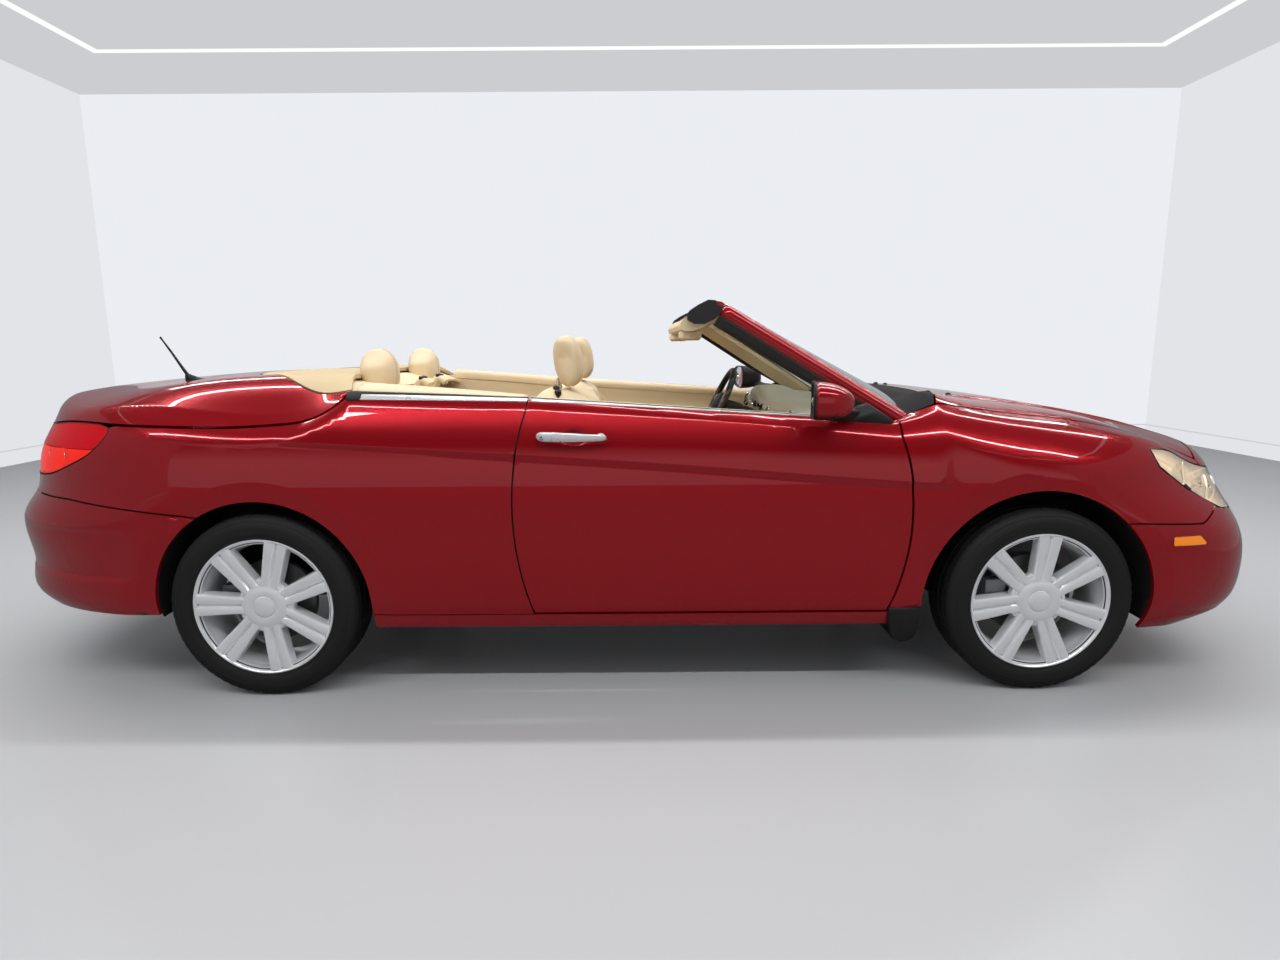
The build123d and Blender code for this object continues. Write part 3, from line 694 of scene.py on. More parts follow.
doorSize = {"front": [(0.936, 0.312), (1.003, 0.690), (0.915, 1.045)],
            "rear": [(-0.314, 0.312), (-0.374, 0.780), (-0.308, 1.085)],
            "low": 0.312, "innerY": 0.774, "gap": 0.006}
doorFrontEdge, doorRearEdge = arcPoints(*doorSize["front"], 30), arcPoints(*doorSize["rear"], 30)


def doorEdgeUp(edge, shift, innerY):
    # a door shut line: up the side, then in over the belt
    x = np.array([p[0] for p in edge]) + shift
    z = np.array([p[1] for p in edge])
    top = crossing(x)
    below = z < top - 0.004
    out = list(zip(x[below], z[below]))
    xc = float(x[below][-1])
    out.append((xc, float(crossing(xc))))
    out.append((xc, float(overBelt(xc, innerY))))
    return out


hoodSide = softLine([(1.112, 0.775), (1.346, 0.720), (1.722, 0.680), (2.016, 0.608), (2.182, 0.586)], 40)
hoodNose = arcPoints((2.182, 0.586), (2.335, 0.0), (2.182, -0.586), 48)
hoodRear = arcPoints((1.112, -0.775), (1.235, 0.0), (1.112, 0.775), 40)
lidGap = 0.009
lampHigh = [(1.912, 0.867), (2.020, 0.851), (2.110, 0.817), (2.203, 0.779)]
lampInnerY = 0.460
deckLine = [(-1.002, 1.043), (-1.060, 1.011), (-1.204, 0.986), (-1.339, 0.979), (-1.520, 0.981),
            (-1.788, 0.988), (-2.016, 0.990), (-2.130, 0.978), (-2.330, 0.972)]
tailInnerY = 0.520
tailLow = [(-1.802, 0.950), (-1.846, 0.900), (-1.948, 0.846), (-2.051, 0.809), (-2.130, 0.795), (-2.330, 0.786)]


creaseSteps = (-0.012, -0.002, 0.003, 0.010, 0.018, 0.024, 0.030, 0.044)


def makeDoorSkin():
    low = [(x, doorSize["low"]) for x in np.linspace(doorRearEdge[0][0], doorFrontEdge[0][0], 60)][1:-1]
    front = doorEdgeUp(doorFrontEdge, -0.002, doorSize["innerY"])
    rear = doorEdgeUp(doorRearEdge, 0, doorSize["innerY"])
    inner = [(x, float(overBelt(x, doorSize["innerY"])))
             for x in np.linspace(front[-1][0], rear[-1][0], 50)][1:-1]
    s = handleHollow
    hollow = [[(s["x"] + s["halfLong"] * g * math.cos(a), s["z"] + s["halfHigh"] * g * math.sin(a))
               for a in np.linspace(0, 6.28, 12 + int(24 * g))] for g in (0.35, 0.5, 0.65, 0.8, 0.92, 1.02)]
    return trimmedPanel("left_door_skin", low + front + inner + rear[::-1], skin, redPaint, 0.085,
                        rows=rowsOver(-0.36, 0.99) + creaseRows(np.arange(-0.36, 0.99, 0.016)) + hollow)


def creaseRows(xs, columns=None):
    # points just above and below the side's crease, so that it stays crisp
    columns = xs if columns is None else columns
    return [list(zip(columns, creaseLine(xs) - drop)) for drop in creaseSteps]


def acrossMiddle(rows, middle):
    # rows of skin points repeated beyond the nose or the tail
    return [[(2 * middle - u, t) for u, t in row] for row in rows]


def archRows(arch, startDeg, endDeg):
    # points along the flat lip of a wheel arch, so that its edges stay crisp
    cx, cz, r = arch
    turns = np.radians(np.arange(startDeg, endDeg, 2.2))
    rows = []
    for grow in (0.010, 0.030, 0.050, 0.064, 0.070, 0.082):
        x, z = cx + (r + grow) * np.cos(turns), cz + (r + grow) * np.sin(turns)
        rows.append(list(zip(uOfSide(x, z), z)))
    return rows


def levelLines(uFrom, uTo, heights):
    # points along level lines of the bumpers' relief
    u = np.arange(uFrom, uTo, 0.02)
    return [list(zip(u, np.full_like(u, z))) for z in heights]


def makeFenderSkin():
    gap = doorSize["gap"]
    edge = [(x + gap, z) for x, z in doorFrontEdge]
    low = [(edge[0][0], 0.306), (1.000, 0.306)]
    path = fromSide(low + archPart(frontArch, 182.6, 45.6))
    path += fromSide([(1.800, 0.6235), (1.900, 0.620), (2.000, 0.6145), (2.059, 0.612), (2.110, 0.634),
                      (2.150, 0.653)])
    path += fromSide([(2.160, 0.6585), (2.100, 0.689), (2.034, 0.7195), (1.975, 0.762), (1.913, 0.803),
                      (1.905, 0.835), (1.906, 0.871)])
    path += fromSide([(x, z + 0.004) for x, z in softLine(lampHigh, 14)[1:]])
    side = [(x, y + lidGap) for x, y in hoodSide][::-1]
    path += fromPlan([(2.192, 0.590)] + side[1:-1])
    path += fromPlan([(1.121, 0.784), (1.060, 0.783), (1.000, 0.783)])
    path += doorEdgeUp(doorFrontEdge, gap, 0.783)[::-1][:-1]
    rows = rowsOver(0.93, 2.35) + creaseRows(np.arange(0.94, 1.25, 0.016)) + archRows(frontArch, 44, 184)
    return trimmedPanel("left_fender_skin", path, skin, redPaint, 0.014, rows=rows)


def makeQuarterSkin():
    gap = doorSize["gap"]
    path = [(x, 0.306) for x in np.linspace(-0.320, -0.890, 30)]
    path += fromSide(archPart(rearArch, -4.3, 120.5))
    path += fromSide([(-1.550, 0.678), (-1.700, 0.694), (-1.850, 0.710), (-1.966, 0.723), (-2.150, 0.726),
                      (-2.300, 0.728)])
    path += fromEnd([(0.529, 0.728), (0.529, 0.780)], False)
    path += fromSide([(x, z - 0.004) for x, z in softLine(tailLow, 24)][::-1])
    path += fromSide([(-1.794, 0.974)])
    path += fromSide([(x, z - lidGap) for x, z in softLine(deckLine, 60) if x > -1.78][::-1])
    path += fromSide([(-0.980, 1.050), (-0.936, 1.085)])
    xs = np.linspace(-0.930, -0.320, 36)
    path += [(x, float(overBelt(x, 0.702))) for x in xs]
    path += doorEdgeUp(doorRearEdge, -gap, 0.702)[::-1][1:-1]
    rows = rowsOver(-0.95, -0.32) + rowsOver(tailU, -1.8)
    xs = np.arange(-1.70, -0.39, 0.018)
    rows += creaseRows(xs, uOfSide(xs, creaseLine(xs))) + archRows(rearArch, -6, 122)
    return trimmedPanel("left_quarter_skin", path, skin, redPaint, 0.014, rows=rows)


def grilleOpening():
    # the upper opening's left half, from the middle below to the middle above
    side = fromEnd([(0.425, 0.655), (0.430, 0.700), (0.415, 0.750), (0.380, 0.782)])
    return [(noseU, 0.655)] + side + [(noseU, 0.790)]


def makeFrontBumperSkin():
    path = [(noseU, 0.216)]
    path += fromSide([(x, 0.216) for x in (2.290, 2.250, 2.150, 2.050, 1.950)])
    path += fromSide(archPart(frontArch, -15.2, 44.6, 24))
    path += fromSide([(1.800, 0.6175), (1.900, 0.614), (2.000, 0.6085), (2.061, 0.606), (2.112, 0.628),
                      (2.164, 0.652)])
    path += fromSide([(2.196, 0.640), (2.285, 0.626)]) + fromEnd([(0.560, 0.628), (lampInnerY - 0.004, 0.636)])
    path += fromEnd([(lampInnerY - 0.004, 0.700), (lampInnerY - 0.004, 0.752), (0.540, 0.765)])
    path += fromSide([(2.210, 0.781)])
    nose = [(x + lidGap, y) for x, y in hoodNose if y > 0.001]
    path += fromPlan([(2.196, 0.588)] + nose[1:]) + [(noseU, fromPlan([(2.344, 0.0)])[0][1])]
    lower = fromEnd([(0.500, 0.300), (0.520, 0.320), (0.510, 0.380), (0.490, 0.400)])
    lower = [(noseU, 0.300)] + lower + [(noseU, 0.400)]
    holes = [bothSides(opening, noseU) for opening in (grilleOpening(), lower)]
    arch = archRows(frontArch, -16, 46)
    rows = rowsOver(2.35, 2 * noseU - 2.35) + arch + acrossMiddle(arch, noseU)
    rows += levelLines(1.95, 2 * noseU - 1.95, (0.262, 0.271, 0.279, 0.288))
    return trimmedPanel("front_bumper_skin", bothSides(path, noseU), skin, redPaint, 0.014, holes=holes,
                        rows=rows)


def makeRearBumperSkin():
    path = [(tailU, 0.302)] + fromSide([(x, 0.302) for x in (-2.300, -2.200, -2.050, -1.900, -1.750)])
    path += fromSide(archPart(rearArch, 184.9, 121.8, 24))
    path += fromSide([(-1.550, 0.671), (-1.700, 0.688), (-1.850, 0.704), (-1.966, 0.717), (-2.150, 0.720),
                      (-2.300, 0.722)])
    path += [(tailU, 0.722)]
    rows = archRows(rearArch, 121, 186)
    rows += acrossMiddle(rows, tailU)
    rows += levelLines(2 * tailU + 1.75, -1.75, (0.420, 0.429, 0.437, 0.446, 0.598, 0.606, 0.614, 0.624))
    return trimmedPanel("rear_bumper_skin", bothSides(path, tailU), skin, redPaint, 0.014, rows=rows)


tonneauSide = softLine([(-0.955, 0.764), (-1.030, 0.757), (-1.115, 0.726), (-1.224, 0.646), (-1.370, 0.490),
                        (-1.440, 0.400), (-1.500, 0.250), (-1.530, 0.120), (-1.538, 0.0)], 70)


def besideCover(d):
    # the cover's rear edge moved outwards by d
    p = np.array(tonneauSide)
    t = np.gradient(p, axis=0)
    t /= np.linalg.norm(t, axis=1, keepdims=True)
    q = p + np.stack([-np.abs(t[:, 1]), np.abs(t[:, 0])], -1) * d
    return [(x, max(y, 0.0)) for x, y in q]


def makeDeckLidSkin():
    path = [(tailU, 0.732)] + fromEnd([(0.300, 0.732), (tailInnerY, 0.732), (tailInnerY, 0.850),
                                       (tailInnerY, 0.968)], False)
    path += fromSide([(-0.968, 1.074)] + softLine(deckLine, 70))[::-1]
    path += fromPlan([(-0.962, 0.776)])
    path += fromPlan([p for p in besideCover(0.008) if p[1] > 0.003 and p[0] < -0.972])
    path += [(tailU, fromPlan([(-1.546, 0.0)])[0][1])]
    xs = np.arange(-2.30, -0.98, 0.018)
    edge = crownCurves[0][2][4](xs)
    shoulder = [fromPlan(list(zip(xs, edge + k))) for k in (-0.016, -0.006, -0.001, 0.002, 0.008, 0.018)]
    shoulder += [fromPlan([p for p in besideCover(d) if p[1] > 0.02 and p[0] < -0.97])
                 for d in (0.014, 0.022, 0.034)]
    shoulder += acrossMiddle(shoulder, tailU)
    return trimmedPanel("deck_lid_skin", bothSides(path, tailU), skin, redPaint, 0.014,
                        rows=rowsOver(2 * tailU + 0.95, -0.95) + shoulder)


def makeTonneauSkin():
    front = arcPoints((-0.955, -0.764), (-1.075, 0.0), (-0.955, 0.764), 40)
    rows = [[(x, k * y) for x, y in besideCover(-d)] for d in (0.006, 0.014, 0.024, 0.036) for k in (1, -1)]
    return trimmedPanel("tonneau_skin", front[:-1] + tonneauSide
                        + [(x, -y) for x, y in tonneauSide[::-1][1:-1]], overCrown, coverTrim, 0.016,
                        step=0.024, rows=rows)


def strakeLine(x):
    # how far from the middle each raised strake of the hood runs
    return 0.47 - 0.13 * (x - 1.15)


def hoodSurface(x, y):
    # two long raised strakes and a soft centre
    p = overCrown(x, y)
    side = np.abs(p[..., 1]) - strakeLine(p[..., 0])
    rise = 0.007 * smoothStep(-0.05, 0.0, side) * (1 - smoothStep(0.0, 0.012, side))
    rise = rise * smoothStep(1.14, 1.4, p[..., 0]) * (1 - smoothStep(2.0, 2.3, p[..., 0]))
    p[..., 2] += rise
    return p


def makeHoodSkin():
    outline = (hoodRear + [(x, y) for x, y in hoodSide[1:]] + hoodNose[1:]
               + [(x, -y) for x, y in hoodSide[::-1][1:-1]])
    xs = np.arange(1.16, 2.25, 0.022)
    rows = [list(zip(xs, s * (strakeLine(xs) + k))) for s in (1, -1)
            for k in (-0.03, -0.012, 0.0, 0.006, 0.013)]
    return trimmedPanel("hood_skin", outline, hoodSurface, redPaint, 0.012, rows=rows)


def makeCowlSkin():
    front = [(x - lidGap, y) for x, y in hoodRear]
    outline = [(0.965, -0.776)] + front + [(0.965, 0.776)]
    return trimmedPanel("cowl_skin", outline, overCrown, underSeal, 0.010, step=0.03)


def makeSkins():
    for make, body, node in ((makeDoorSkin, "left_door", "left_door"),
                             (makeFenderSkin, "body", "left_front_fender"),
                             (makeQuarterSkin, "body", "left_quarter_panel")):
        pairOf(make(), body, node)
    for make, body, node in ((makeFrontBumperSkin, "body", "front_bumper"),
                             (makeRearBumperSkin, "body", "rear_bumper"),
                             (makeTonneauSkin, "body", "tonneau_cover"), (makeHoodSkin, "hood", "hood"),
                             (makeCowlSkin, "body", "cowl_panel"), (makeDeckLidSkin, "deck_lid", "deck_lid")):
        rideAs(body, make(), node=node)


makeSkins()
print("body panels made")


# meshes put together from lathed and lofted parts

def latheParts(profile, segments=96, slot=0, close=False):
    # a profile of (radius, y) turned about the y axis
    verts, faces, rings = [], [], []
    for r, y in profile:
        if r < 1e-6:
            rings.append([len(verts)] * segments)
            verts.append((0, y, 0))
        else:
            rings.append(list(range(len(verts), len(verts) + segments)))
            turns = [2 * math.pi * k / segments for k in range(segments)]
            verts += [(r * math.cos(a), y, r * math.sin(a)) for a in turns]
    pairs = list(zip(rings, rings[1:])) + ([(rings[-1], rings[0])] if close else [])
    for a, b in pairs:
        for k in range(segments):
            j = (k + 1) % segments
            face = []
            for v in (a[k], a[j], b[j], b[k]):
                if v not in face:
                    face.append(v)
            if len(face) > 2:
                faces.append(tuple(face))
    return np.array(verts), faces, slot


def loftParts(sections, slot=0, capEnds=True, closed=True):
    # rows of equal point count joined side by side
    n = len(sections[0])
    verts = np.array([p for s in sections for p in s])
    faces = []
    for i in range(len(sections) - 1):
        for k in range(n if closed else n - 1):
            j = (k + 1) % n
            faces.append((i * n + k, i * n + j, (i + 1) * n + j, (i + 1) * n + k))
    if capEnds and closed:
        faces.append(tuple(range(n))[::-1])
        faces.append(tuple((len(sections) - 1) * n + k for k in range(n)))
    return verts, faces, slot


def assemble(name, parts, materials, sharp=32):
    # parts joined in one mesh, normals outward, hard edges kept crisp
    verts, faces, slots, base = [], [], [], 0
    for v, f, slot in parts:
        verts += [tuple(p) for p in v]
        faces += [tuple(i + base for i in face) for face in f]
        slots += [slot] * len(f)
        base += len(v)
    obj = newObject(name, verts, faces)
    for m in materials:
        obj.data.materials.append(m)
    obj.data.polygons.foreach_set("material_index", slots)
    work = bmesh.new()
    work.from_mesh(obj.data)
    bmesh.ops.recalc_face_normals(work, faces=work.faces)
    work.to_mesh(obj.data)
    work.free()
    if sharp:
        obj.data.set_sharp_from_angle(angle=math.radians(sharp))
    return obj


def lofted(name, rows, material, sharp=40):
    return assemble(name, [loftParts(rows)], [material], sharp)


def moved(part, offset=(0, 0, 0), side=1):
    v, f, slot = part
    return np.asarray(v) * (1, side, 1) + np.array(offset), f, slot


def turnedAboutY(part, degrees):
    v, f, slot = part
    a = math.radians(degrees)
    v = np.asarray(v)
    x, z = v[:, 0] * math.cos(a) - v[:, 2] * math.sin(a), v[:, 0] * math.sin(a) + v[:, 2] * math.cos(a)
    return np.stack([x, v[:, 1], z], -1), f, slot


def discAt(centre, facing, profile, slot, segments=40, close=False):
    # a lathed part standing at a place, its axis along a direction
    v, f, _ = latheParts(profile, segments, 0, close)
    return v @ turnTo(facing).T + np.array(centre), f, slot


def newTree(name, inputs):
    # a geometry node group with inputs of its own; gives their keys too
    tree = bpy.data.node_groups.new(name, "GeometryNodeTree")
    tree.interface.new_socket(name="Geometry", in_out="INPUT", socket_type="NodeSocketGeometry")
    keys = [tree.interface.new_socket(name=label, in_out="INPUT", socket_type="NodeSocket" + kind).identifier
            for label, kind in inputs]
    tree.interface.new_socket(name="Geometry", in_out="OUTPUT", socket_type="NodeSocketGeometry")
    return tree, keys, tree.nodes.new("NodeGroupInput"), tree.nodes.new("NodeGroupOutput")


def finishCopies(tree, given, copies, out):
    # the copies made real and given their finish
    real, coat = tree.nodes.new("GeometryNodeRealizeInstances"), tree.nodes.new("GeometryNodeSetMaterial")
    linkAll(tree, (copies, 0, real, 0), (real, 0, coat, "Geometry"), (given, "Finish", coat, "Material"),
            (coat, 0, out, 0))


def repeatTree():
    # geometry nodes: copies of the mesh turned evenly about the y axis
    tree, keys, given, out = newTree("repeatAround", [("Count", "Int"), ("Finish", "Material")])
    line, index, divide, times, turn, onPoints = (tree.nodes.new(kind) for kind in (
        "GeometryNodeMeshLine", "GeometryNodeInputIndex", "ShaderNodeMath", "ShaderNodeMath",
        "ShaderNodeCombineXYZ", "GeometryNodeInstanceOnPoints"))
    setInputs(line, Offset=(0, 0, 0))
    divide.operation, times.operation = "DIVIDE", "MULTIPLY"
    times.inputs[1].default_value = 2 * math.pi
    linkAll(tree, (given, "Count", line, "Count"), (index, 0, divide, 0), (given, "Count", divide, 1),
            (divide, 0, times, 0), (times, 0, turn, "Y"), (line, 0, onPoints, "Points"),
            (given, "Geometry", onPoints, "Instance"), (turn, 0, onPoints, "Rotation"))
    finishCopies(tree, given, onPoints, out)
    return tree, keys


aroundTree, aroundKeys = repeatTree()


def repeatedAround(part, count, material):
    # one part repeated about the y axis as a plain part again
    seed = newObject("seedPart", part[0], part[1])
    nodes = seed.modifiers.new("around", "NODES")
    nodes.node_group = aroundTree
    for key, value in zip(aroundKeys, (count, material)):
        nodes[key] = value
    mesh = evaluated(seed)
    bpy.data.objects.remove(seed)
    return coordsOf(mesh), [tuple(p.vertices) for p in mesh.polygons], part[2]


wheelSize = {"frontX": 1.485, "rearX": -1.280, "y": 0.785, "z": 0.336, "spokes": 7, "hubHalf": 0.031,
             "rimHalf": 0.0425, "grooveHalf": 0.0055, "grooveDeep": 0.009, "frontPhase": 85.0,
             "rearPhase": 75.0, "treadBlocks": 68}


def spokePart():
    # one spoke towards +z: two flat ribs with a groove between, tapering to the hub
    sections = []
    for r in (0.066, 0.080, 0.100, 0.140, 0.180, 0.215, 0.232, 0.2405):
        k = (r - 0.075) / 0.165
        w = wheelSize["hubHalf"] + (wheelSize["rimHalf"] - wheelSize["hubHalf"]) * k
        face = 0.0900 + 0.0085 * smoothStep(0.0, 1.0, k)
        back = face - 0.050 + 0.012 * k
        g, d = wheelSize["grooveHalf"], wheelSize["grooveDeep"] * smoothStep(0.075, 0.10, r)
        right = [(g * 0.5, -d), (g * 0.9, -d * 0.75), (g * 1.3, -0.0008), (g * 1.7, 0.0), (w - 0.0065, 0.0006),
                 (w - 0.003, -0.0006), (w - 0.0008, -0.004), (w + 0.0005, -0.012)]
        top = [(-x, y) for x, y in right[::-1]] + right
        sections.append([(x, face + y, r) for x, y in top] + [(w + 0.002, back, r), (-w - 0.002, back, r)])
    return loftParts(sections)


def makeRoadWheel(name, centreX, side, phase, body):
    rim = [(0.2360, 0.084), (0.2372, 0.0935), (0.2400, 0.0985), (0.2438, 0.1012), (0.2470, 0.1012),
           (0.2488, 0.0985), (0.2490, 0.0950), (0.2440, 0.0900), (0.2300, 0.0880), (0.2280, 0.0600),
           (0.2240, 0.0300), (0.2240, -0.0500), (0.2290, -0.0860), (0.2460, -0.0880), (0.2480, -0.0940),
           (0.2440, -0.0960), (0.2250, -0.0880), (0.2170, -0.0600), (0.2160, 0.0200), (0.2230, 0.0520),
           (0.2300, 0.0700)]
    hub = [(0.0, 0.1018), (0.015, 0.1014), (0.027, 0.1003), (0.0345, 0.0985), (0.0378, 0.0962),
           (0.0388, 0.0930), (0.0396, 0.0925), (0.0408, 0.0940), (0.0440, 0.0948), (0.0600, 0.0938),
           (0.0720, 0.0916), (0.0782, 0.0890), (0.0798, 0.0868), (0.0802, 0.0830), (0.0818, 0.0830),
           (0.0826, 0.0862), (0.0870, 0.0860), (0.0950, 0.0820), (0.1000, 0.0740), (0.1010, 0.0550),
           (0.0800, 0.0350), (0.0, 0.0350)]
    ring = repeatedAround(spokePart(), wheelSize["spokes"], brightAlloy)
    parts = [turnedAboutY(ring, phase - 90.0), latheParts(rim, 128, 0, True), latheParts(hub, 96)]
    disc = [(0.070, 0.0), (0.152, 0.0), (0.153, -0.002), (0.153, -0.022), (0.150, -0.024), (0.070, -0.024)]
    parts.append(moved(latheParts(disc, 96, 1, True), (0, 0.010, 0)))
    bell = [(0.0, 0.034), (0.066, 0.034), (0.072, 0.028), (0.074, -0.012), (0.0, -0.012)]
    parts.append(latheParts(bell, 64, 1))
    place = (centreX, side * wheelSize["y"], wheelSize["z"])
    wheel = assemble(name, [moved(p, place, side) for p in parts], [brightAlloy, steelPart], 28)
    rideAs(body, wheel, node=body)


def makeRoadTyre(name, centreX, side, body):
    half = [(0.2330, 0.0880), (0.2420, 0.0955), (0.2500, 0.0995), (0.2570, 0.1020), (0.2590, 0.1012),
            (0.2610, 0.1030), (0.2750, 0.1062), (0.2850, 0.1072), (0.2950, 0.1068), (0.2970, 0.1055),
            (0.2990, 0.1062), (0.3080, 0.1035), (0.3100, 0.1018), (0.3120, 0.1018), (0.3200, 0.0975),
            (0.3270, 0.0915), (0.3310, 0.0850), (0.3328, 0.0780), (0.3335, 0.0640), (0.3290, 0.0630),
            (0.3290, 0.0560), (0.3345, 0.0550), (0.3355, 0.0260), (0.3290, 0.0250), (0.3290, 0.0170),
            (0.3358, 0.0160)]
    profile = half + [(r, -y) for r, y in half[::-1]]
    inner = [(0.2330, -0.0800), (0.2330, 0.0800)]
    parts = [latheParts(profile + inner, 144, 0, True)]
    lug = []
    for r, y0, y1, w in ((0.3230, 0.0800, 0.0960, 0.0098), (0.3318, 0.0690, 0.0885, 0.0098),
                         (0.3352, 0.0655, 0.0790, 0.0094)):
        lug.append([(-w, y0, r), (w, y0, r), (w * 0.94, y1, r - 0.0015), (-w * 0.94, y1, r - 0.0015)])
    block = repeatedAround(loftParts(lug), wheelSize["treadBlocks"], tyreRubber)
    parts += [block, moved(block, (0, 0, 0), -1)]
    bar = [[(-0.008, 0.0275, 0.330), (0.004, 0.0275, 0.330), (0.010, 0.0540, 0.330), (-0.002, 0.0540, 0.330)],
           [(-0.008, 0.0275, 0.3358), (0.004, 0.0275, 0.3358), (0.010, 0.0540, 0.3350),
            (-0.002, 0.0540, 0.3350)]]
    bars = repeatedAround(loftParts(bar), wheelSize["treadBlocks"], tyreRubber)
    parts += [bars, moved(bars, (0, 0, 0), -1)]
    place = (centreX, side * wheelSize["y"], wheelSize["z"])
    tyre = assemble(name, [moved(p, place, side) for p in parts], [tyreRubber], 30)
    rideAs(body, tyre, node=body.replace("wheel", "tyre"))


for end, centreX, phase in (("front", wheelSize["frontX"], wheelSize["frontPhase"]),
                            ("rear", wheelSize["rearX"], wheelSize["rearPhase"])):
    for word, side in (("left", 1), ("right", -1)):
        makeRoadWheel(f"{end}_{word}_rim_dressed", centreX, side, phase, f"{end}_{word}_wheel")
        makeRoadTyre(f"{end}_{word}_tyre_dressed", centreX, side, f"{end}_{word}_wheel")
print("wheels and tyres made")


# lamps, sills and bright strips on the skin

def insetOf(mapping, d):
    # the same surface set inwards by d
    def inner(u, t):
        e = 0.0015
        p = mapping(u, t)
        n = np.cross(mapping(u + e, t) - mapping(u - e, t), mapping(u, t + e) - mapping(u, t - e))
        n /= np.maximum(np.linalg.norm(n, axis=-1, keepdims=True), 1e-12)
        hub = np.stack([np.clip(p[..., 0], -1.2, 1.2), 0 * p[..., 0], 0 * p[..., 0] + 0.45], -1)
        n *= np.sign(((p - hub) * n).sum(-1, keepdims=True))
        return p - n * d
    return inner


def skinPoint(u, t, depth):
    # one place behind the skin
    return insetOf(skin, depth)(np.array([u]), np.array([t]))[0]


def wallBand(name, outline, mapping, d0, d1, material, thick=0.003):
    # a band standing in from the skin all round an outline
    u, t = np.array(denser(outline, 0.012)).T
    rings = [insetOf(mapping, d)(u, t) for d in (d0, d1)]
    n = len(u)
    faces = [(k, (k + 1) % n, n + (k + 1) % n, n + k) for k in range(n)]
    obj = newObject(name, np.concatenate(rings), faces, material)
    solid = obj.modifiers.new("wall", "SOLIDIFY")
    solid.thickness, solid.offset = thick, 0
    return applied(obj)


def smaller(outline, by):
    # an outline drawn in towards its middle by about the same amount everywhere
    p = np.array(outline)
    ahead, behind = np.roll(p, -1, axis=0), np.roll(p, 1, axis=0)
    along = ahead - behind
    along /= np.maximum(np.linalg.norm(along, axis=1, keepdims=True), 1e-9)
    normal = np.stack([-along[:, 1], along[:, 0]], -1)
    area = 0.5 * np.sum(p[:, 0] * ahead[:, 1] - ahead[:, 0] * p[:, 1])
    return [tuple(q) for q in p + normal * by * np.sign(area)]


clearLens = finish("clearLens", (0.97, 0.97, 0.95), (0.94, 0.94, 0.92), (0.0, 0.02), 5.0, 300.0, 0.0,
                   Transmission_Weight=1.0, IOR=1.45)
redLens = finish("redLens", (0.72, 0.004, 0.012), (0.65, 0.003, 0.010), (0.10, 0.16), 9.0, 300.0, 0.0,
                 Transmission_Weight=0.25, IOR=1.45, Specular_IOR_Level=0.15,
                 Emission_Color=(1.0, 0.0, 0.02, 1), Emission_Strength=0.02)
hotLens = finish("hotLens", (0.95, 0.030, 0.012), (0.90, 0.022, 0.010), (0.04, 0.08), 9.0, 300.0, 0.0,
                 Transmission_Weight=0.5, IOR=1.45, Specular_IOR_Level=0.2, Emission_Color=(1.0, 0.03, 0.01, 1),
                 Emission_Strength=0.22)
reflector = finish("reflector", (0.86, 0.86, 0.84), (0.78, 0.78, 0.76), (0.06, 0.14), 12.0, 500.0, 0.0,
                   Metallic=1.0)
warmBulb = finish("warmBulb", (1.0, 0.80, 0.45), (0.98, 0.74, 0.38), (0.2, 0.3), 20.0, 400.0, 0.0,
                  Emission_Color=(1.0, 0.62, 0.25, 1), Emission_Strength=2.2)
redBulb = finish("redBulb", (1.0, 0.25, 0.08), (0.98, 0.20, 0.06), (0.2, 0.3), 20.0, 400.0, 0.0,
                 Emission_Color=(1.0, 0.18, 0.04, 1), Emission_Strength=4.0)
# painted light: the headlamp's cream housing glows a little, standing for light gathered inside the lamp
lampCream = finish("lampCream", (0.86, 0.80, 0.70), (0.72, 0.65, 0.54), (0.14, 0.24), 22.0, 300.0, 0.2,
                   Metallic=0.6, Emission_Color=(1.0, 0.80, 0.60, 1), Emission_Strength=0.42)

headOutline = (fromSide(softLine(lampHigh, 12))
               + fromEnd([(0.540, 0.761), (lampInnerY, 0.748), (lampInnerY, 0.700), (lampInnerY, 0.640),
                          (0.560, 0.632)]))
headOutline += fromSide([(2.285, 0.630), (2.196, 0.644), (2.110, 0.683), (2.037, 0.724), (1.978, 0.765),
                         (1.919, 0.806), (1.909, 0.835)])
tailOutline = (fromSide([(-1.798, 0.972)] + softLine(tailLow, 24))
               + fromEnd([(0.526, 0.786), (0.526, 0.850), (0.526, 0.962)], False))
tailOutline += fromSide([(x, z - 0.006) for x, z in softLine(deckLine, 60) if x < -1.83][::-1])


def lampBowl(parts, place, depth, facing, radius, bulb, ringed=True):
    # a bowl reflector set back from the skin, with its bulb
    facing = np.array(facing) / np.linalg.norm(facing)
    centre = skinPoint(*place, depth)
    deep, size, long = radius * 0.9, radius * bulb, radius * 0.45
    parts.append(discAt(centre, facing, [(radius * 1.03, 0.0), (radius, 0.002), (radius * 0.93, -deep * 0.4),
                                         (radius * 0.72, -deep * 0.75), (radius * 0.4, -deep * 0.95),
                                         (0.0, -deep)], 0, 48))
    if ringed:
        rim = [(radius * 1.02, -0.004), (radius * 1.08, 0.001), (radius * 1.06, 0.004), (radius * 0.98, 0.003),
               (radius * 0.96, -0.002)]
        parts.append(discAt(centre, facing, rim, 2, 48, True))
    parts.append(discAt(centre - facing * radius * 0.42, facing, [
        (size * 0.7, -long), (size, -long * 0.4), (size, 0.0), (size * 0.8, size * 0.6),
        (size * 0.4, size * 0.95), (0.0, size * 1.05)], 1, 24))


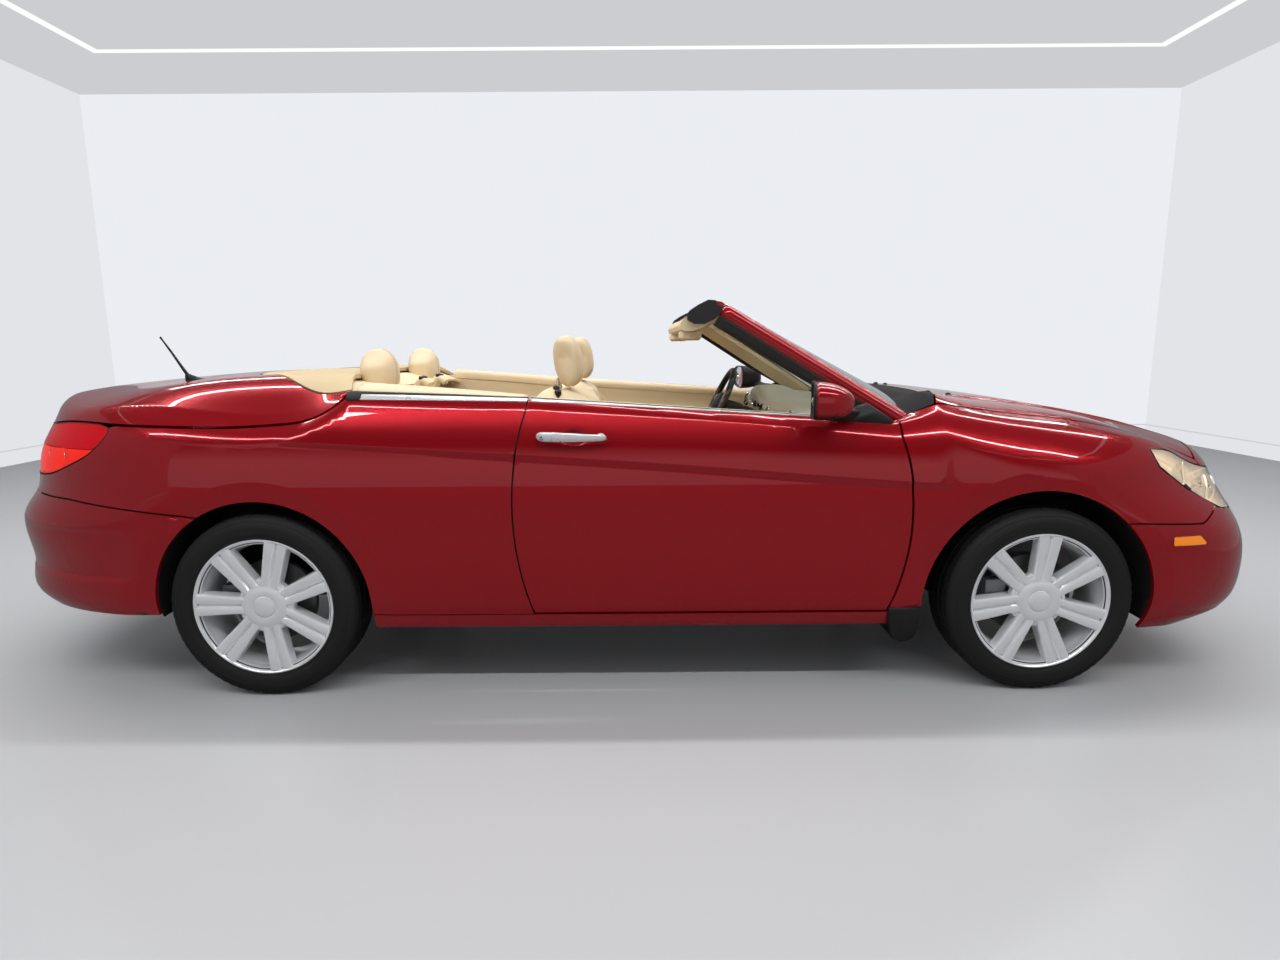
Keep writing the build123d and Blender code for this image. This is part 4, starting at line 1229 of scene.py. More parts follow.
def makeHeadlamp():
    lens = trimmedPanel("left_headlamp_lens", headOutline, insetOf(skin, 0.001), clearLens, 0.003, step=0.02,
                        rows=rowsOver(1.9, 2.6))
    # the back and the wall take the housing's painted glow
    back = trimmedPanel("left_headlamp_back", smaller(headOutline, 0.004), insetOf(skin, 0.050), lampCream,
                        0.003, step=0.02)
    wall = wallBand("left_headlamp_wall", smaller(headOutline, 0.003), skin, 0.004, 0.052, lampCream)
    edge = wallBand("left_headlamp_edge", smaller(headOutline, 0.0005), skin, -0.0006, 0.006, rubberSeal,
                    0.0016)
    parts = []
    lampBowl(parts, fromSide([(2.205, 0.712)])[0], 0.026, (0.90, 0.42, 0.10), 0.050, 0.26)
    lampBowl(parts, fromSide([(2.085, 0.778)])[0], 0.022, (0.80, 0.55, 0.20), 0.040, 0.28)
    lampBowl(parts, fromEnd([(0.570, 0.700)])[0], 0.028, (0.97, 0.22, 0.08), 0.047, 0.26)
    bowls = assemble("left_headlamp_bowls", parts, [reflector, warmBulb, lampCream], 40)
    return [lens, back, wall, edge, bowls]


tailSplit = 0.898


def clipped(outline, height, above):
    # the part of an outline above or below a level line
    out = []
    for i, a in enumerate(outline):
        b = outline[(i + 1) % len(outline)]
        keepA, keepB = (a[1] > height) == above, (b[1] > height) == above
        if keepA:
            out.append(a)
        if keepA != keepB:
            k = (height - a[1]) / (b[1] - a[1])
            out.append((a[0] + (b[0] - a[0]) * k, height))
    return out


def makeTailLamp():
    rows = rowsOver(tailU, -1.8)
    high = trimmedPanel("left_tail_lens_high", clipped(tailOutline, tailSplit + 0.001, True),
                        insetOf(skin, 0.001), redLens, 0.004, step=0.02, rows=rows)
    low = trimmedPanel("left_tail_lens_low", clipped(tailOutline, tailSplit - 0.001, False),
                       insetOf(skin, 0.0018), hotLens, 0.004, step=0.02)
    back = trimmedPanel("left_tail_back", smaller(tailOutline, 0.004), insetOf(skin, 0.045), reflector, 0.003,
                        step=0.02)
    wall = wallBand("left_tail_wall", smaller(tailOutline, 0.003), skin, 0.005, 0.047, darkPlastic)
    edge = wallBand("left_tail_edge", smaller(tailOutline, 0.0005), skin, -0.0006, 0.006, rubberSeal, 0.0016)
    parts = []
    for y, z, radius in ((0.620, 0.852, 0.030), (0.705, 0.858, 0.034), (0.775, 0.868, 0.028)):
        lampBowl(parts, fromEnd([(y, z)], False)[0], 0.016, (-0.93, 0.55, 0.05), radius, 0.42, False)
    for y, z, radius in ((0.640, 0.925, 0.020), (0.735, 0.928, 0.020)):
        lampBowl(parts, fromEnd([(y, z)], False)[0], 0.018, (-0.93, 0.45, 0.05), radius, 0.2, False)
    bowls = assemble("left_tail_bowls", parts, [reflector, redBulb, redLens], 40)
    return [high, low, back, wall, edge, bowls]


for piece in makeHeadlamp():
    pairOf(piece, "body", "headlamps")
for piece in makeTailLamp():
    pairOf(piece, "body", "tail_lamps")


def makeSill():
    outline = [(x, 0.252) for x in np.linspace(-0.892, 1.056, 90)] + [(1.056, 0.302)]
    outline += [(x, 0.302) for x in np.linspace(1.040, -0.876, 90)] + [(-0.892, 0.302)]
    return trimmedPanel("left_sill_skin", outline, skin, redPaint, 0.085)


pairOf(makeSill(), "body", "sills")

stripSize = {"outerY": 0.827, "innerY": 0.808, "proud": 0.003, "rearEnd": -0.930}


def makeBeltStrip(name, xFrom, xTo):
    # bright strip on the belt's edge, turned over its top as far as the seal
    sections = []
    for x in np.linspace(xFrom, xTo, 90):
        low, high = float(overBelt(x, stripSize["outerY"])), float(overBelt(x, stripSize["innerY"]))
        ts = low + (high - low) * np.array([0.0, 0.12, 0.3, 0.5, 0.7, 0.86, 1.0])
        outer = insetOf(skin, -stripSize["proud"])(np.full(7, x), ts)
        inner = insetOf(skin, 0.001)(np.full(7, x), ts)
        sections.append([tuple(p) for p in outer] + [tuple(p) for p in inner[::-1]])
    return lofted(name, sections, stripAlloy, 50)


def edgeX(edge, z):
    zs, xs = [p[1] for p in edge], [p[0] for p in edge]
    if zs[0] > zs[-1]:
        zs, xs = zs[::-1], xs[::-1]
    return float(np.interp(z, zs, xs))


doorTopFront, doorTopRear = edgeX(doorFrontEdge, 0.96), edgeX(doorRearEdge, 1.055)


def makeBelt():
    # strips, seals and rolls along the belt, first on the door and then beside the rear seat
    doorXs = np.linspace(doorTopRear + 0.003, doorTopFront - 0.006, 60)
    sideXs = np.linspace(stripSize["rearEnd"], doorTopRear - 0.009, 40)
    pairOf(makeBeltStrip("left_door_belt_strip", doorXs[0], doorXs[-1]), "left_door")
    pairOf(makeBeltStrip("left_quarter_belt_strip", sideXs[0], sideXs[-1]), "body")
    seal = [(0.809, -0.004), (0.809, 0.0035), (0.803, 0.006), (0.796, 0.0045), (0.795, -0.006)]
    doorRoll = [(0.7955, -0.004), (0.7945, 0.0045), (0.786, 0.0080), (0.772, 0.0070), (0.760, 0.0),
                (0.7555, -0.014), (0.760, -0.034), (0.772, -0.040), (0.776, -0.004)]
    sideRoll = [(0.7955, -0.004), (0.7945, 0.0045), (0.786, 0.0085), (0.745, 0.0090), (0.708, 0.0070),
                (0.692, 0.0), (0.6855, -0.014), (0.689, -0.040), (0.701, -0.044), (0.705, -0.004)]
    for name, xs, section, material, sharp, body in (
            ("left_door_belt_seal", doorXs, seal, rubberSeal, 40, "left_door"),
            ("left_quarter_belt_seal", sideXs, seal, rubberSeal, 40, "body"),
            ("left_door_roll", doorXs[:-3], doorRoll, leather, 50, "left_door"),
            ("left_side_roll", sideXs[:-1], sideRoll, leather, 50, "body")):
        rows = [[(x, y, float(topHeight(x, y)) + dz) for y, dz in section] for x in xs]
        pairOf(lofted(name, rows, material, sharp), body)
    rows = []
    for x, grow in ((-0.957, 0.4), (-0.955, 0.8), (-0.948, 1.0), (-0.925, 1.0), (-0.912, 0.9), (-0.905, 0.5)):
        ring = []
        for y, out in ((0.831, 0.003), (0.827, 0.006), (0.822, 0.008), (0.815, 0.0085), (0.806, 0.008),
                       (0.796, 0.006), (0.796, -0.006), (0.815, -0.008), (0.831, -0.005)):
            t = float(overBelt(-0.935, 0.814 + (y - 0.814) * (0.6 + 0.4 * grow)))
            ring.append(tuple(skinPoint(x, t, -out * grow)))
        rows.append(ring)
    pairOf(lofted("left_belt_end_cap", rows, rubberSeal), "body")


print("lamps, sills and strips made")


# shells from a rule over a grid, with their thickness

def gridShell(name, rule, us, vs, depth, material):
    # rule(u, v) gives the outer surface; the inner one is set back by the depth, the rim is closed
    u, v = np.meshgrid(us, vs, indexing="ij")
    e = 0.0008 * max(abs(us[-1] - us[0]), 1e-3)
    f = 0.0008 * max(abs(vs[-1] - vs[0]), 1e-3)
    p = rule(u, v)
    n = np.cross(rule(u + e, v) - rule(u - e, v), rule(u, v + f) - rule(u, v - f))
    n /= np.maximum(np.linalg.norm(n, axis=-1, keepdims=True), 1e-12)
    a, b = p.shape[:2]
    verts = np.concatenate([p.reshape(-1, 3), (p - n * depth).reshape(-1, 3)])
    faces, m = [], a * b
    for i in range(a - 1):
        for j in range(b - 1):
            q = (i * b + j, (i + 1) * b + j, (i + 1) * b + j + 1, i * b + j + 1)
            faces.append(q)
            faces.append(tuple(k + m for k in q[::-1]))
    edge = [(i, 0) for i in range(a)] + [(a - 1, j) for j in range(1, b)]
    edge += [(i, b - 1) for i in range(a - 2, -1, -1)] + [(0, j) for j in range(b - 2, 0, -1)]
    ids = [i * b + j for i, j in edge]
    for k, one in enumerate(ids):
        two = ids[(k + 1) % len(ids)]
        faces.append((two, one, one + m, two + m))
    return assemble(name, [(verts, faces, 0)], [material], 40)


def roundedTube(points, radius, slot=0, sides=12, radii=None):
    # a round bar through points
    p = np.array(points, float)
    along = np.gradient(p, axis=0)
    along /= np.linalg.norm(along, axis=1, keepdims=True)
    up = np.array([0.0, 0.0, 1.0]) if abs(along[0][2]) < 0.9 else np.array([1.0, 0.0, 0.0])
    sections = []
    for i, (q, t) in enumerate(zip(p, along)):
        side = np.cross(up, t)
        side /= np.linalg.norm(side)
        top = np.cross(t, side)
        up = top
        r = radii[i] if radii is not None else radius
        sections.append([tuple(q + r * (math.cos(a) * side + math.sin(a) * top))
                         for a in ringTurns(sides)])
    return loftParts(sections, slot)


leather = finish("creamLeather", (0.80, 0.63, 0.41), (0.75, 0.585, 0.37), (0.38, 0.52), 5.0, 520.0, 0.55,
                 Coat_Weight=0.08, Coat_Roughness=0.35)
creamPlastic = finish("creamPlastic", (0.82, 0.66, 0.42), (0.78, 0.62, 0.385), (0.45, 0.58), 4.0, 600.0, 0.45)
tintedGlass = finish("tintedGlass", (0.88, 0.95, 0.88), (0.86, 0.94, 0.87), (0.0, 0.01), 2.0, 100.0, 0.0,
                     Transmission_Weight=1.0, IOR=1.45)
# glass takes more of its tint where it is seen along its face
setInputs(colourWhere(tintedGlass, "ShaderNodeLayerWeight", "Facing", (0.46, 0.48, 0.37)), Blend=0.35)
silverTrim = finish("silverTrim", (0.55, 0.55, 0.55), (0.48, 0.48, 0.48), (0.28, 0.36), 9.0, 700.0, 0.1,
                    Metallic=0.85)
mirrorFace = finish("mirrorFace", (0.90, 0.91, 0.92), (0.87, 0.88, 0.90), (0.01, 0.02), 3.0, 100.0, 0.0,
                    Metallic=1.0)
burrWood = finish("burrWood", (0.085, 0.030, 0.012), (0.030, 0.012, 0.006), (0.15, 0.25), 38.0, 200.0, 0.0,
                  Coat_Weight=0.8)

screenForm = {"lowZ": 0.960, "lowHalf": 0.795, "lowSide": 1.060, "lowMid": 1.262, "highZ": 1.396,
              "highHalf": 0.606, "highSide": 0.372, "highMid": 0.440, "glass": 0.005}


def bowX(y, half, side, mid):
    # x on the plan arc through the middle and both sides
    sag = mid - side
    r = (half * half + sag * sag) / (2 * sag)
    return mid - r + np.sqrt(r * r - y * y)


def screenPoint(s, v):
    f = screenForm
    yl, yh = s * f["lowHalf"], s * f["highHalf"]
    low = np.stack([bowX(yl, f["lowHalf"], f["lowSide"], f["lowMid"]), yl, np.full_like(yl, f["lowZ"])], -1)
    high = np.stack([bowX(yh, f["highHalf"], f["highSide"], f["highMid"]), yh, np.full_like(yh, f["highZ"])],
                    -1)
    v = v[..., None]
    return low * (1 - v) + high * v


def screenFrame(v, side=1.0):
    # corner point of the screen with its outward, normal and along directions
    s = np.array([side, side - 0.02])
    p, q = screenPoint(s, np.array([v, v]))
    r = screenPoint(s[:1], np.array([v + 0.02]))[0]
    outward, along = p - q, r - p
    outward, along = outward / np.linalg.norm(outward), along / np.linalg.norm(along)
    normal = np.cross(along, outward)
    normal /= np.linalg.norm(normal)
    if normal[2] < 0:
        normal = -normal
    return p, outward, normal


def pillarLoft(section, vs, shrink=None):
    rows = []
    for v in vs:
        p, a, n = screenFrame(v)
        k = 1.0 if shrink is None else shrink(v)
        rows.append([tuple(p + a * x + n * (-0.040 + (y + 0.040) * k if y < -0.040 else y))
                     for x, y in section])
    return loftParts(rows)


def makeScreen():
    glass = gridShell("windscreen_glass_dressed", screenPoint, np.linspace(-0.945, 0.945, 48),
                      np.linspace(0.04, 0.965, 24), screenForm["glass"], tintedGlass)
    vs = np.linspace(0.03, 0.985, 26)
    redSection = [(-0.052, 0.0005), (-0.048, 0.003), (-0.026, 0.005), (-0.008, 0.003), (0.004, -0.003),
                  (0.010, -0.012), (0.012, -0.026), (0.010, -0.040), (0.004, -0.042), (0.002, -0.016),
                  (-0.008, -0.008), (-0.050, -0.007)]
    sealSection = [(0.009, -0.040), (0.011, -0.048), (0.008, -0.052), (0.008, -0.062), (0.003, -0.074),
                   (-0.004, -0.084), (-0.014, -0.088), (-0.022, -0.080), (-0.016, -0.040)]
    trimSection = [(-0.016, -0.034), (-0.022, -0.072), (-0.040, -0.076), (-0.062, -0.060), (-0.076, -0.034),
                   (-0.070, -0.012), (-0.052, -0.009), (-0.010, -0.010)]
    rubberSection = [(-0.058, 0.0002), (-0.052, 0.0022), (-0.049, 0.0022), (-0.048, -0.006), (-0.056, -0.007)]
    narrow = lambda v: 0.62 + 0.38 * float(smoothStep(0.15, 0.6, v))
    red = assemble("left_pillar_shell", [pillarLoft(redSection, vs)], [redPaint], 40)
    seal = assemble("left_pillar_seal", [pillarLoft(sealSection, vs, narrow), pillarLoft(rubberSection, vs)],
                    [rubberSeal], 40)
    trim = assemble("left_pillar_trim", [pillarLoft(trimSection, vs)], [creamPlastic], 40)
    for piece in (red, seal, trim):
        pairOf(piece, "body", "windscreen_frame")
    rideAs("body", glass, node="windscreen_glass")


def headerLoft(section, ys, slot=0, grow=1.0):
    rows = []
    for y in ys:
        x0 = float(bowX(y, screenForm["highHalf"], screenForm["highSide"], screenForm["highMid"]))
        k = (x0 - 0.213) / 0.227
        rows.append([(x0 + d * k * grow, y, screenForm["highZ"] + z * grow) for d, z in section])
    return loftParts(rows, slot)


def makeHeader():
    ys, inner = np.linspace(-0.590, 0.590, 40), np.linspace(-0.574, 0.574, 40)
    redBand = [(0.006, -0.006), (0.000, 0.001), (-0.012, 0.006), (-0.040, 0.009), (-0.062, 0.005),
               (-0.064, -0.010), (-0.010, -0.012)]
    rubber = [(-0.064, 0.002), (-0.072, 0.006), (-0.082, 0.002), (-0.120, -0.014), (-0.150, -0.028),
              (-0.168, -0.036), (-0.176, -0.046), (-0.120, -0.034), (-0.064, -0.012)]
    lining = [(-0.172, -0.038), (-0.200, -0.050), (-0.216, -0.062), (-0.224, -0.078), (-0.218, -0.094),
              (-0.196, -0.100), (-0.150, -0.098), (-0.095, -0.084), (-0.050, -0.060), (-0.012, -0.030),
              (0.0, -0.014), (-0.064, -0.014), (-0.120, -0.034), (-0.174, -0.048)]
    red = assemble("header_shell", [headerLoft(redBand, ys)], [redPaint], 40)
    parts = [headerLoft(rubber, ys)]
    cap = [(-0.040, 0.0105), (-0.078, 0.0125), (-0.132, -0.006), (-0.176, -0.026), (-0.190, -0.040),
           (-0.186, -0.060), (-0.150, -0.074), (-0.095, -0.074), (-0.050, -0.058), (-0.012, -0.034),
           (0.0, -0.018), (-0.030, -0.006)]
    for s in (1, -1):
        parts.append(headerLoft(cap, s * np.linspace(0.566, 0.6065, 8)))
    rubberPiece = assemble("header_seal", parts, [rubberSeal], 40)
    liningPiece = assemble("header_lining", [headerLoft(lining, inner)], [creamPlastic], 40)
    latches = []
    for s in (1, -1):
        rows = []
        for grow, d in ((0.8, 0.0), (1.0, 0.012), (1.0, 0.030), (0.75, 0.040)):
            rows.append([(0.262 - 0.045 * math.cos(a) * grow, s * 0.44 + 0.055 * math.sin(a) * grow, 1.302 - d)
                         for a in ringTurns(20)])
        latches.append(loftParts(rows))
    latchPiece = assemble("header_latches", latches, [creamPlastic], 40)
    rideAs("body", red, rubberPiece, liningPiece, latchPiece, node="windscreen_frame")


visorSize = {"wide": 0.190, "deep": 0.075, "thick": 0.009, "midS": 0.52, "v": 0.84}


def makeVisors():
    # two folded boards lying under the glass, just below the header
    p = screenPoint(np.array([visorSize["midS"]]), np.array([visorSize["v"]]))[0]
    q = screenPoint(np.array([visorSize["midS"]]), np.array([visorSize["v"] + 0.1]))[0]
    up = (q - p) / np.linalg.norm(q - p)
    side = np.array([0.0, 1.0, 0.0])
    normal = np.cross(up, side)
    normal *= -1 if normal[2] > 0 else 1
    rows = []
    for k, grow in ((-1.0, 0.94), (-0.7, 0.99), (0.0, 1.0), (0.7, 0.99), (1.0, 0.94)):
        ring = []
        for a in ringTurns(40):
            c, s = math.cos(a), math.sin(a)
            x = squared(c, 0.45) * visorSize["wide"] * grow
            y = squared(s, 0.45) * visorSize["deep"] * grow
            ring.append(tuple(p + normal * (0.042 + k * visorSize["thick"]) + side * x + up * y))
        rows.append(ring)
    pairOf(lofted("left_sun_visor", rows, creamPlastic), "body")


makeScreen()
makeHeader()
makeVisors()
print("windscreen made")


mirrorSize = {"y": 0.962, "z": 1.062, "halfY": 0.094, "halfZ": 0.063, "rear": 0.634, "front": 0.762}


def makeMirror():
    m = mirrorSize
    shell = []
    long = m["front"] - m["rear"]
    for k in (0.0, 0.05, 0.15, 0.3, 0.45, 0.6, 0.72, 0.82, 0.90, 0.96, 1.0):
        size = max((1 - max(k - 0.05, 0) ** 2.3) ** (1 / 2.0), 0.10) * (0.985 if k == 0 else 1.0)
        ring = []
        for a in ringTurns(48):
            c, s = math.cos(a), math.sin(a)
            y = squared(c, 0.60) * m["halfY"] * size
            z = squared(s, 0.62) * m["halfZ"] * size * (1.0 - 0.12 * c)
            ring.append((m["rear"] + long * k - 0.016 * c * (1 - k), m["y"] + y, m["z"] + z - 0.006 * k))
        shell.append(ring)
    lip = [[(x, m["y"] + (y - m["y"]) * g, m["z"] + (z - m["z"]) * g) for x, y, z in shell[0]]
           for g in (1.0, 0.93)]
    deep = [(x + 0.012, y, z) for x, y, z in lip[1]]
    bezel = loftParts([[(x - 0.001, y, z) for x, y, z in lip[0]], [(x - 0.004, y, z) for x, y, z in lip[1]],
                       deep], 1, False)
    face = [[(x + 0.006, m["y"] + (y - m["y"]) * g, m["z"] + (z - m["z"]) * g) for x, y, z in shell[0]]
            for g in (0.94, 0.7, 0.4, 0.05)]
    foot = []
    for k in np.linspace(0, 1, 10):
        cx, cy, cz = 0.775 - 0.045 * k, 0.842 + 0.075 * k, 1.006 + 0.022 * k * k
        ring = []
        for a in ringTurns(24):
            ring.append((cx + (0.050 - 0.018 * k) * math.cos(a), cy + 0.010 * math.sin(2 * a) * (1 - k),
                         cz + (0.022 - 0.006 * k) * math.sin(a)))
        foot.append(ring)
    shellPart = loftParts(shell[1:], 0)
    rimPart = loftParts([shell[0], shell[1]], 1, False)
    parts = [shellPart, rimPart, bezel, loftParts(face, 2), loftParts(foot, 1)]
    mirror = assemble("left_mirror_dressed", parts, [redPaint, blackTrim, mirrorFace], 34)
    for face in mirror.data.polygons:
        if face.material_index == 0 and (face.center.y < m["y"] - 0.052 or face.center.z < m["z"] - 0.046):
            face.material_index = 1
    pairOf(mirror, "left_door", "left_mirror")
    sail = [(0.700, 0.986), (0.760, 0.990), (0.812, 1.030), (0.852, 1.042), (0.890, 1.018), (0.930, 0.992),
            (0.946, 0.978), (0.946, 0.966), (0.820, 0.972), (0.700, 0.981)]
    rows = [[(x, y, z) for x, z in sail] for y in (0.812, 0.838)]
    rows.append([(x + (0.82 - x) * 0.06, 0.846, z + (1.0 - z) * 0.10) for x, z in sail])
    pairOf(lofted("left_mirror_sail", rows, blackTrim, 34), "left_door", "left_mirror")


handleSize = {"xRear": -0.289, "xFront": -0.051, "z": 0.939, "y": 0.909, "out": 0.028, "half": 0.0165,
              "groove": 0.052, "taper": 0.30}


def makeHandle():
    h = handleSize
    # the pull narrows forwards from a groove beside its rear cap
    groove = h["xRear"] + h["groove"]
    xs = sorted(list(np.linspace(h["xRear"], h["xFront"], 30))
                + [groove + d for d in (-0.0016, -0.0008, 0.0008, 0.0016)])
    rows = []
    for x in xs:
        k = (x - h["xRear"]) / (h["xFront"] - h["xRear"])
        bulge = (1 - abs(2 * k - 1) ** 3.2)
        slim = 1 - h["taper"] * float(smoothStep(0.20, 0.95, k)) - (0.10 if abs(x - groove) < 0.0012 else 0)
        thin = (1 - abs(2 * k - 1) ** 14) ** 0.5 if 0 < k < 1 else 0.25
        thin = max(thin, 0.3)
        ring = []
        for a in ringTurns(20):
            ring.append((x, h["y"] + h["out"] * (0.35 + 0.65 * bulge) - 0.006
                         + 0.0065 * math.cos(a) * thin * slim,
                         h["z"] + 0.002 - 0.006 * (k - 0.5) + h["half"] * math.sin(a) * thin * slim))
        rows.append(ring)
    parts = [loftParts(rows)]
    for x0, long in ((h["xRear"] + 0.004, 0.038), (h["xFront"] - 0.034, 0.028)):
        foot = [[(x0 + long * (0.5 + 0.5 * c * g), y, h["z"] + 0.0125 * s * g)
                 for c, s in zip(np.cos(ringTurns(20)), np.sin(ringTurns(20)))]
                for y, g in ((0.890, 1.0), (0.912, 1.0), (0.919, 0.92))]
        parts.append(loftParts(foot))
    parts.append(discAt((h["xRear"] + 0.020, 0.9325, h["z"]), (0, 1, 0),
                        [(0.0, 0.0015), (0.0060, 0.0015), (0.0070, 0.0), (0.0070, -0.004)], 1, 24))
    handle = assemble("left_handle_dressed", parts, [stripAlloy, chromeTrim], 34)
    pairOf(handle, "left_door", "left_handle")


makeMirror()
makeHandle()
print("mirrors and handles made")


# cabin: dashboard, wheel, console, trims

steerSize = {"hub": (0.455, 0.370, 0.948), "tilt": 25.0, "ring": 0.185, "tube": 0.0145}
dashSize = {"half": 0.745, "hoodY": 0.370, "hoodHalf": 0.165}


def dashRule(u, v):
    # u across the car, v down over the dashboard's face
    line = np.array(softLine([(1.055, 0.984), (0.930, 0.998), (0.790, 1.004), (0.700, 1.004), (0.655, 0.990),
                              (0.643, 0.960), (0.672, 0.905), (0.688, 0.850), (0.700, 0.780), (0.750, 0.700),
                              (0.820, 0.650)], 60))
    at = np.linspace(0, 1, len(line))
    x, z = np.interp(v, at, line[:, 0]), np.interp(v, at, line[:, 1])
    y = u * dashSize["half"]
    hood = np.exp(-(np.abs(y - dashSize["hoodY"]) / dashSize["hoodHalf"]) ** 4)
    onTop = np.exp(-((v - 0.43) / 0.16) ** 4)
    z = z + 0.040 * hood * onTop
    stack = np.exp(-(np.abs(y) / 0.13) ** 6) * smoothStep(0.5, 0.62, v)
    x = x - 0.030 * stack - 0.012 * hood * smoothStep(0.40, 0.48, v) * (1 - smoothStep(0.52, 0.6, v))
    edge = smoothStep(0.93, 1.0, np.abs(u))
    return np.stack([x + 0.05 * edge * smoothStep(0.3, 0.5, v), y, z - 0.02 * edge], -1)


def dashPoint(y, v):
    return dashRule(np.array([y / dashSize["half"]]), np.array([v]))[0]


dialSize = {"x": 0.650, "z": 0.985, "rim": 0.006, "marks": 9,  # and y, radius and lift of each
            "dials": ((0.365, 0.050, 0.0), (0.265, 0.038, -0.004), (0.465, 0.038, -0.004))}
ventSize = {"radius": 0.033, "places": (-0.52, -0.080, 0.080, 0.665), "slats": (-0.018, -0.006, 0.006, 0.018)}


def dialParts():
    # bezel, face, hub and plain strokes of each dial
    parts, facing = [], np.array([-0.955, 0.0, 0.296])
    across, up = np.array([0.0, -1.0, 0.0]), np.array([0.296, 0.0, 0.955])
    stroke = ((0.70, 0.0009), (0.84, 0.0009), (0.84, -0.0009), (0.70, -0.0009))
    for y, r, lift in dialSize["dials"]:
        centre, inside = np.array([dialSize["x"], y, dialSize["z"] + lift]), r - dialSize["rim"]
        bezel = [(r, -0.012), (r, 0.004), (r - 0.003, 0.0065), (inside, 0.004), (inside, 0.0)]
        parts.append(discAt(centre, facing, bezel, 0))
        parts.append(discAt(centre, facing, [(0.0, 0.001), (inside, 0.001), (inside, -0.008)], 1))
        parts.append(discAt(centre + facing * 0.002, facing, [(0.0, 0.004), (0.006, 0.004), (0.007, 0.0)], 2))
        for k in range(dialSize["marks"]):
            a = math.radians(225 - 33.75 * k)
            d = across * math.cos(a) + up * math.sin(a)
            side = np.cross(d, facing)
            quad = [centre + facing * 0.0018 + d * (r * q) + side * w for q, w in stroke]
            parts.append((np.array(quad), [(0, 1, 2, 3)], 3))
    return parts


def ventParts():
    # round air vents with their slats
    parts, r = [], ventSize["radius"]
    rim = [(0.040, -0.010), (0.042, 0.002), (0.039, 0.006), (0.034, 0.004), (r, -0.006), (0.0, -0.006)]
    section = ((0.0, -0.0014), (0.010, 0.0), (0.010, 0.0016), (0.0, 0.0006))
    for y in ventSize["places"]:
        centre = dashPoint(y, 0.575 if abs(y) < 0.1 else 0.55) + np.array([-0.004, 0, 0])
        parts.append(discAt(centre, (-0.97, 0, 0.22), rim, 0))
        for k in ventSize["slats"]:
            half = math.sqrt(r ** 2 - k * k)
            parts.append(loftParts([[(centre[0] - 0.001 + q, y + s * half, centre[2] + k + w) for q, w in section]
                                    for s in (-1, 1)], 2))
    return parts


def dashBand(name, lowV, highV, proud, us, rows, depth):
    # a trim band standing a little proud of the dashboard between two of its lines
    def rule(u, v):
        p = dashRule(u, lowV + (highV - lowV) * v)
        return p + np.stack([-proud * np.ones_like(u), 0 * u, 0 * u], -1)
    return gridShell(name, rule, us, np.linspace(0, 1, rows), depth, silverTrim)


def makeDashboard():
    stone = finish("stonePad", (0.50, 0.455, 0.36), (0.46, 0.42, 0.33), (0.5, 0.62), 5.0, 500.0, 0.5)
    dash = gridShell("dashboard_pad", dashRule, np.linspace(-1, 1, 121), np.linspace(0, 1, 70), 0.02, stone)
    rideAs("body", dash, node="dashboard")
    bands = [dashBand("dash_band_right", 0.60, 0.70, 0.004, np.linspace(-0.94, -0.19, 50), 8, 0.006),
             dashBand("dash_band_left", 0.62, 0.70, 0.004, np.linspace(0.74, 0.94, 20), 8, 0.006),
             dashBand("dash_centre_stack", 0.56, 0.93, 0.005, np.linspace(-0.165, 0.165, 30), 24, 0.008)]
    parts = dialParts() + ventParts()
    screen = [(-0.062, 0.045), (0.062, 0.045), (0.062, -0.045), (-0.062, -0.045)]
    base = dashPoint(0.0, 0.70)
    rows = [[(base[0] - 0.009 + d + 0.10 * z, y * g, base[2] + z * g) for y, z in screen]
            for d, g in ((0.010, 1.04), (0.0, 1.04), (-0.002, 1.0), (0.001, 0.94))]
    parts.append(loftParts(rows, 1))
    for y in (-0.050, 0.0, 0.050):
        parts.append(discAt(dashPoint(y, 0.835) + np.array([-0.006, 0, 0]), (-0.92, 0, 0.39),
                            [(0.019, -0.004), (0.018, 0.010), (0.016, 0.013), (0.0, 0.013)], 2, 28))
    dials = assemble("dash_dials_and_vents", parts, [chromeTrim, blackTrim, darkPlastic, creamPlastic], 34)
    rideAs("body", *bands, dials)


def makeColumn():
    # the column's cover with a stalk on either side
    hub, tilt = np.array(steerSize["hub"]), math.radians(steerSize["tilt"])
    axis = np.array([math.cos(tilt), 0, -math.sin(tilt)])
    parts = [discAt(hub, axis, [(0.030, 0.012), (0.044, 0.030), (0.052, 0.080), (0.056, 0.160), (0.058, 0.240),
                                (0.0, 0.240)], 0)]
    for s in (1, -1):
        root = hub + axis * 0.055 + np.array([0, s * 0.040, 0.0])
        parts.append(roundedTube([root, root + np.array([-0.006, s * 0.05, 0.012]),
                                  root + np.array([-0.012, s * 0.115, 0.02])], 0.007, 0))
    rideAs("body", assemble("steering_column_cover", parts, [darkPlastic], 34))


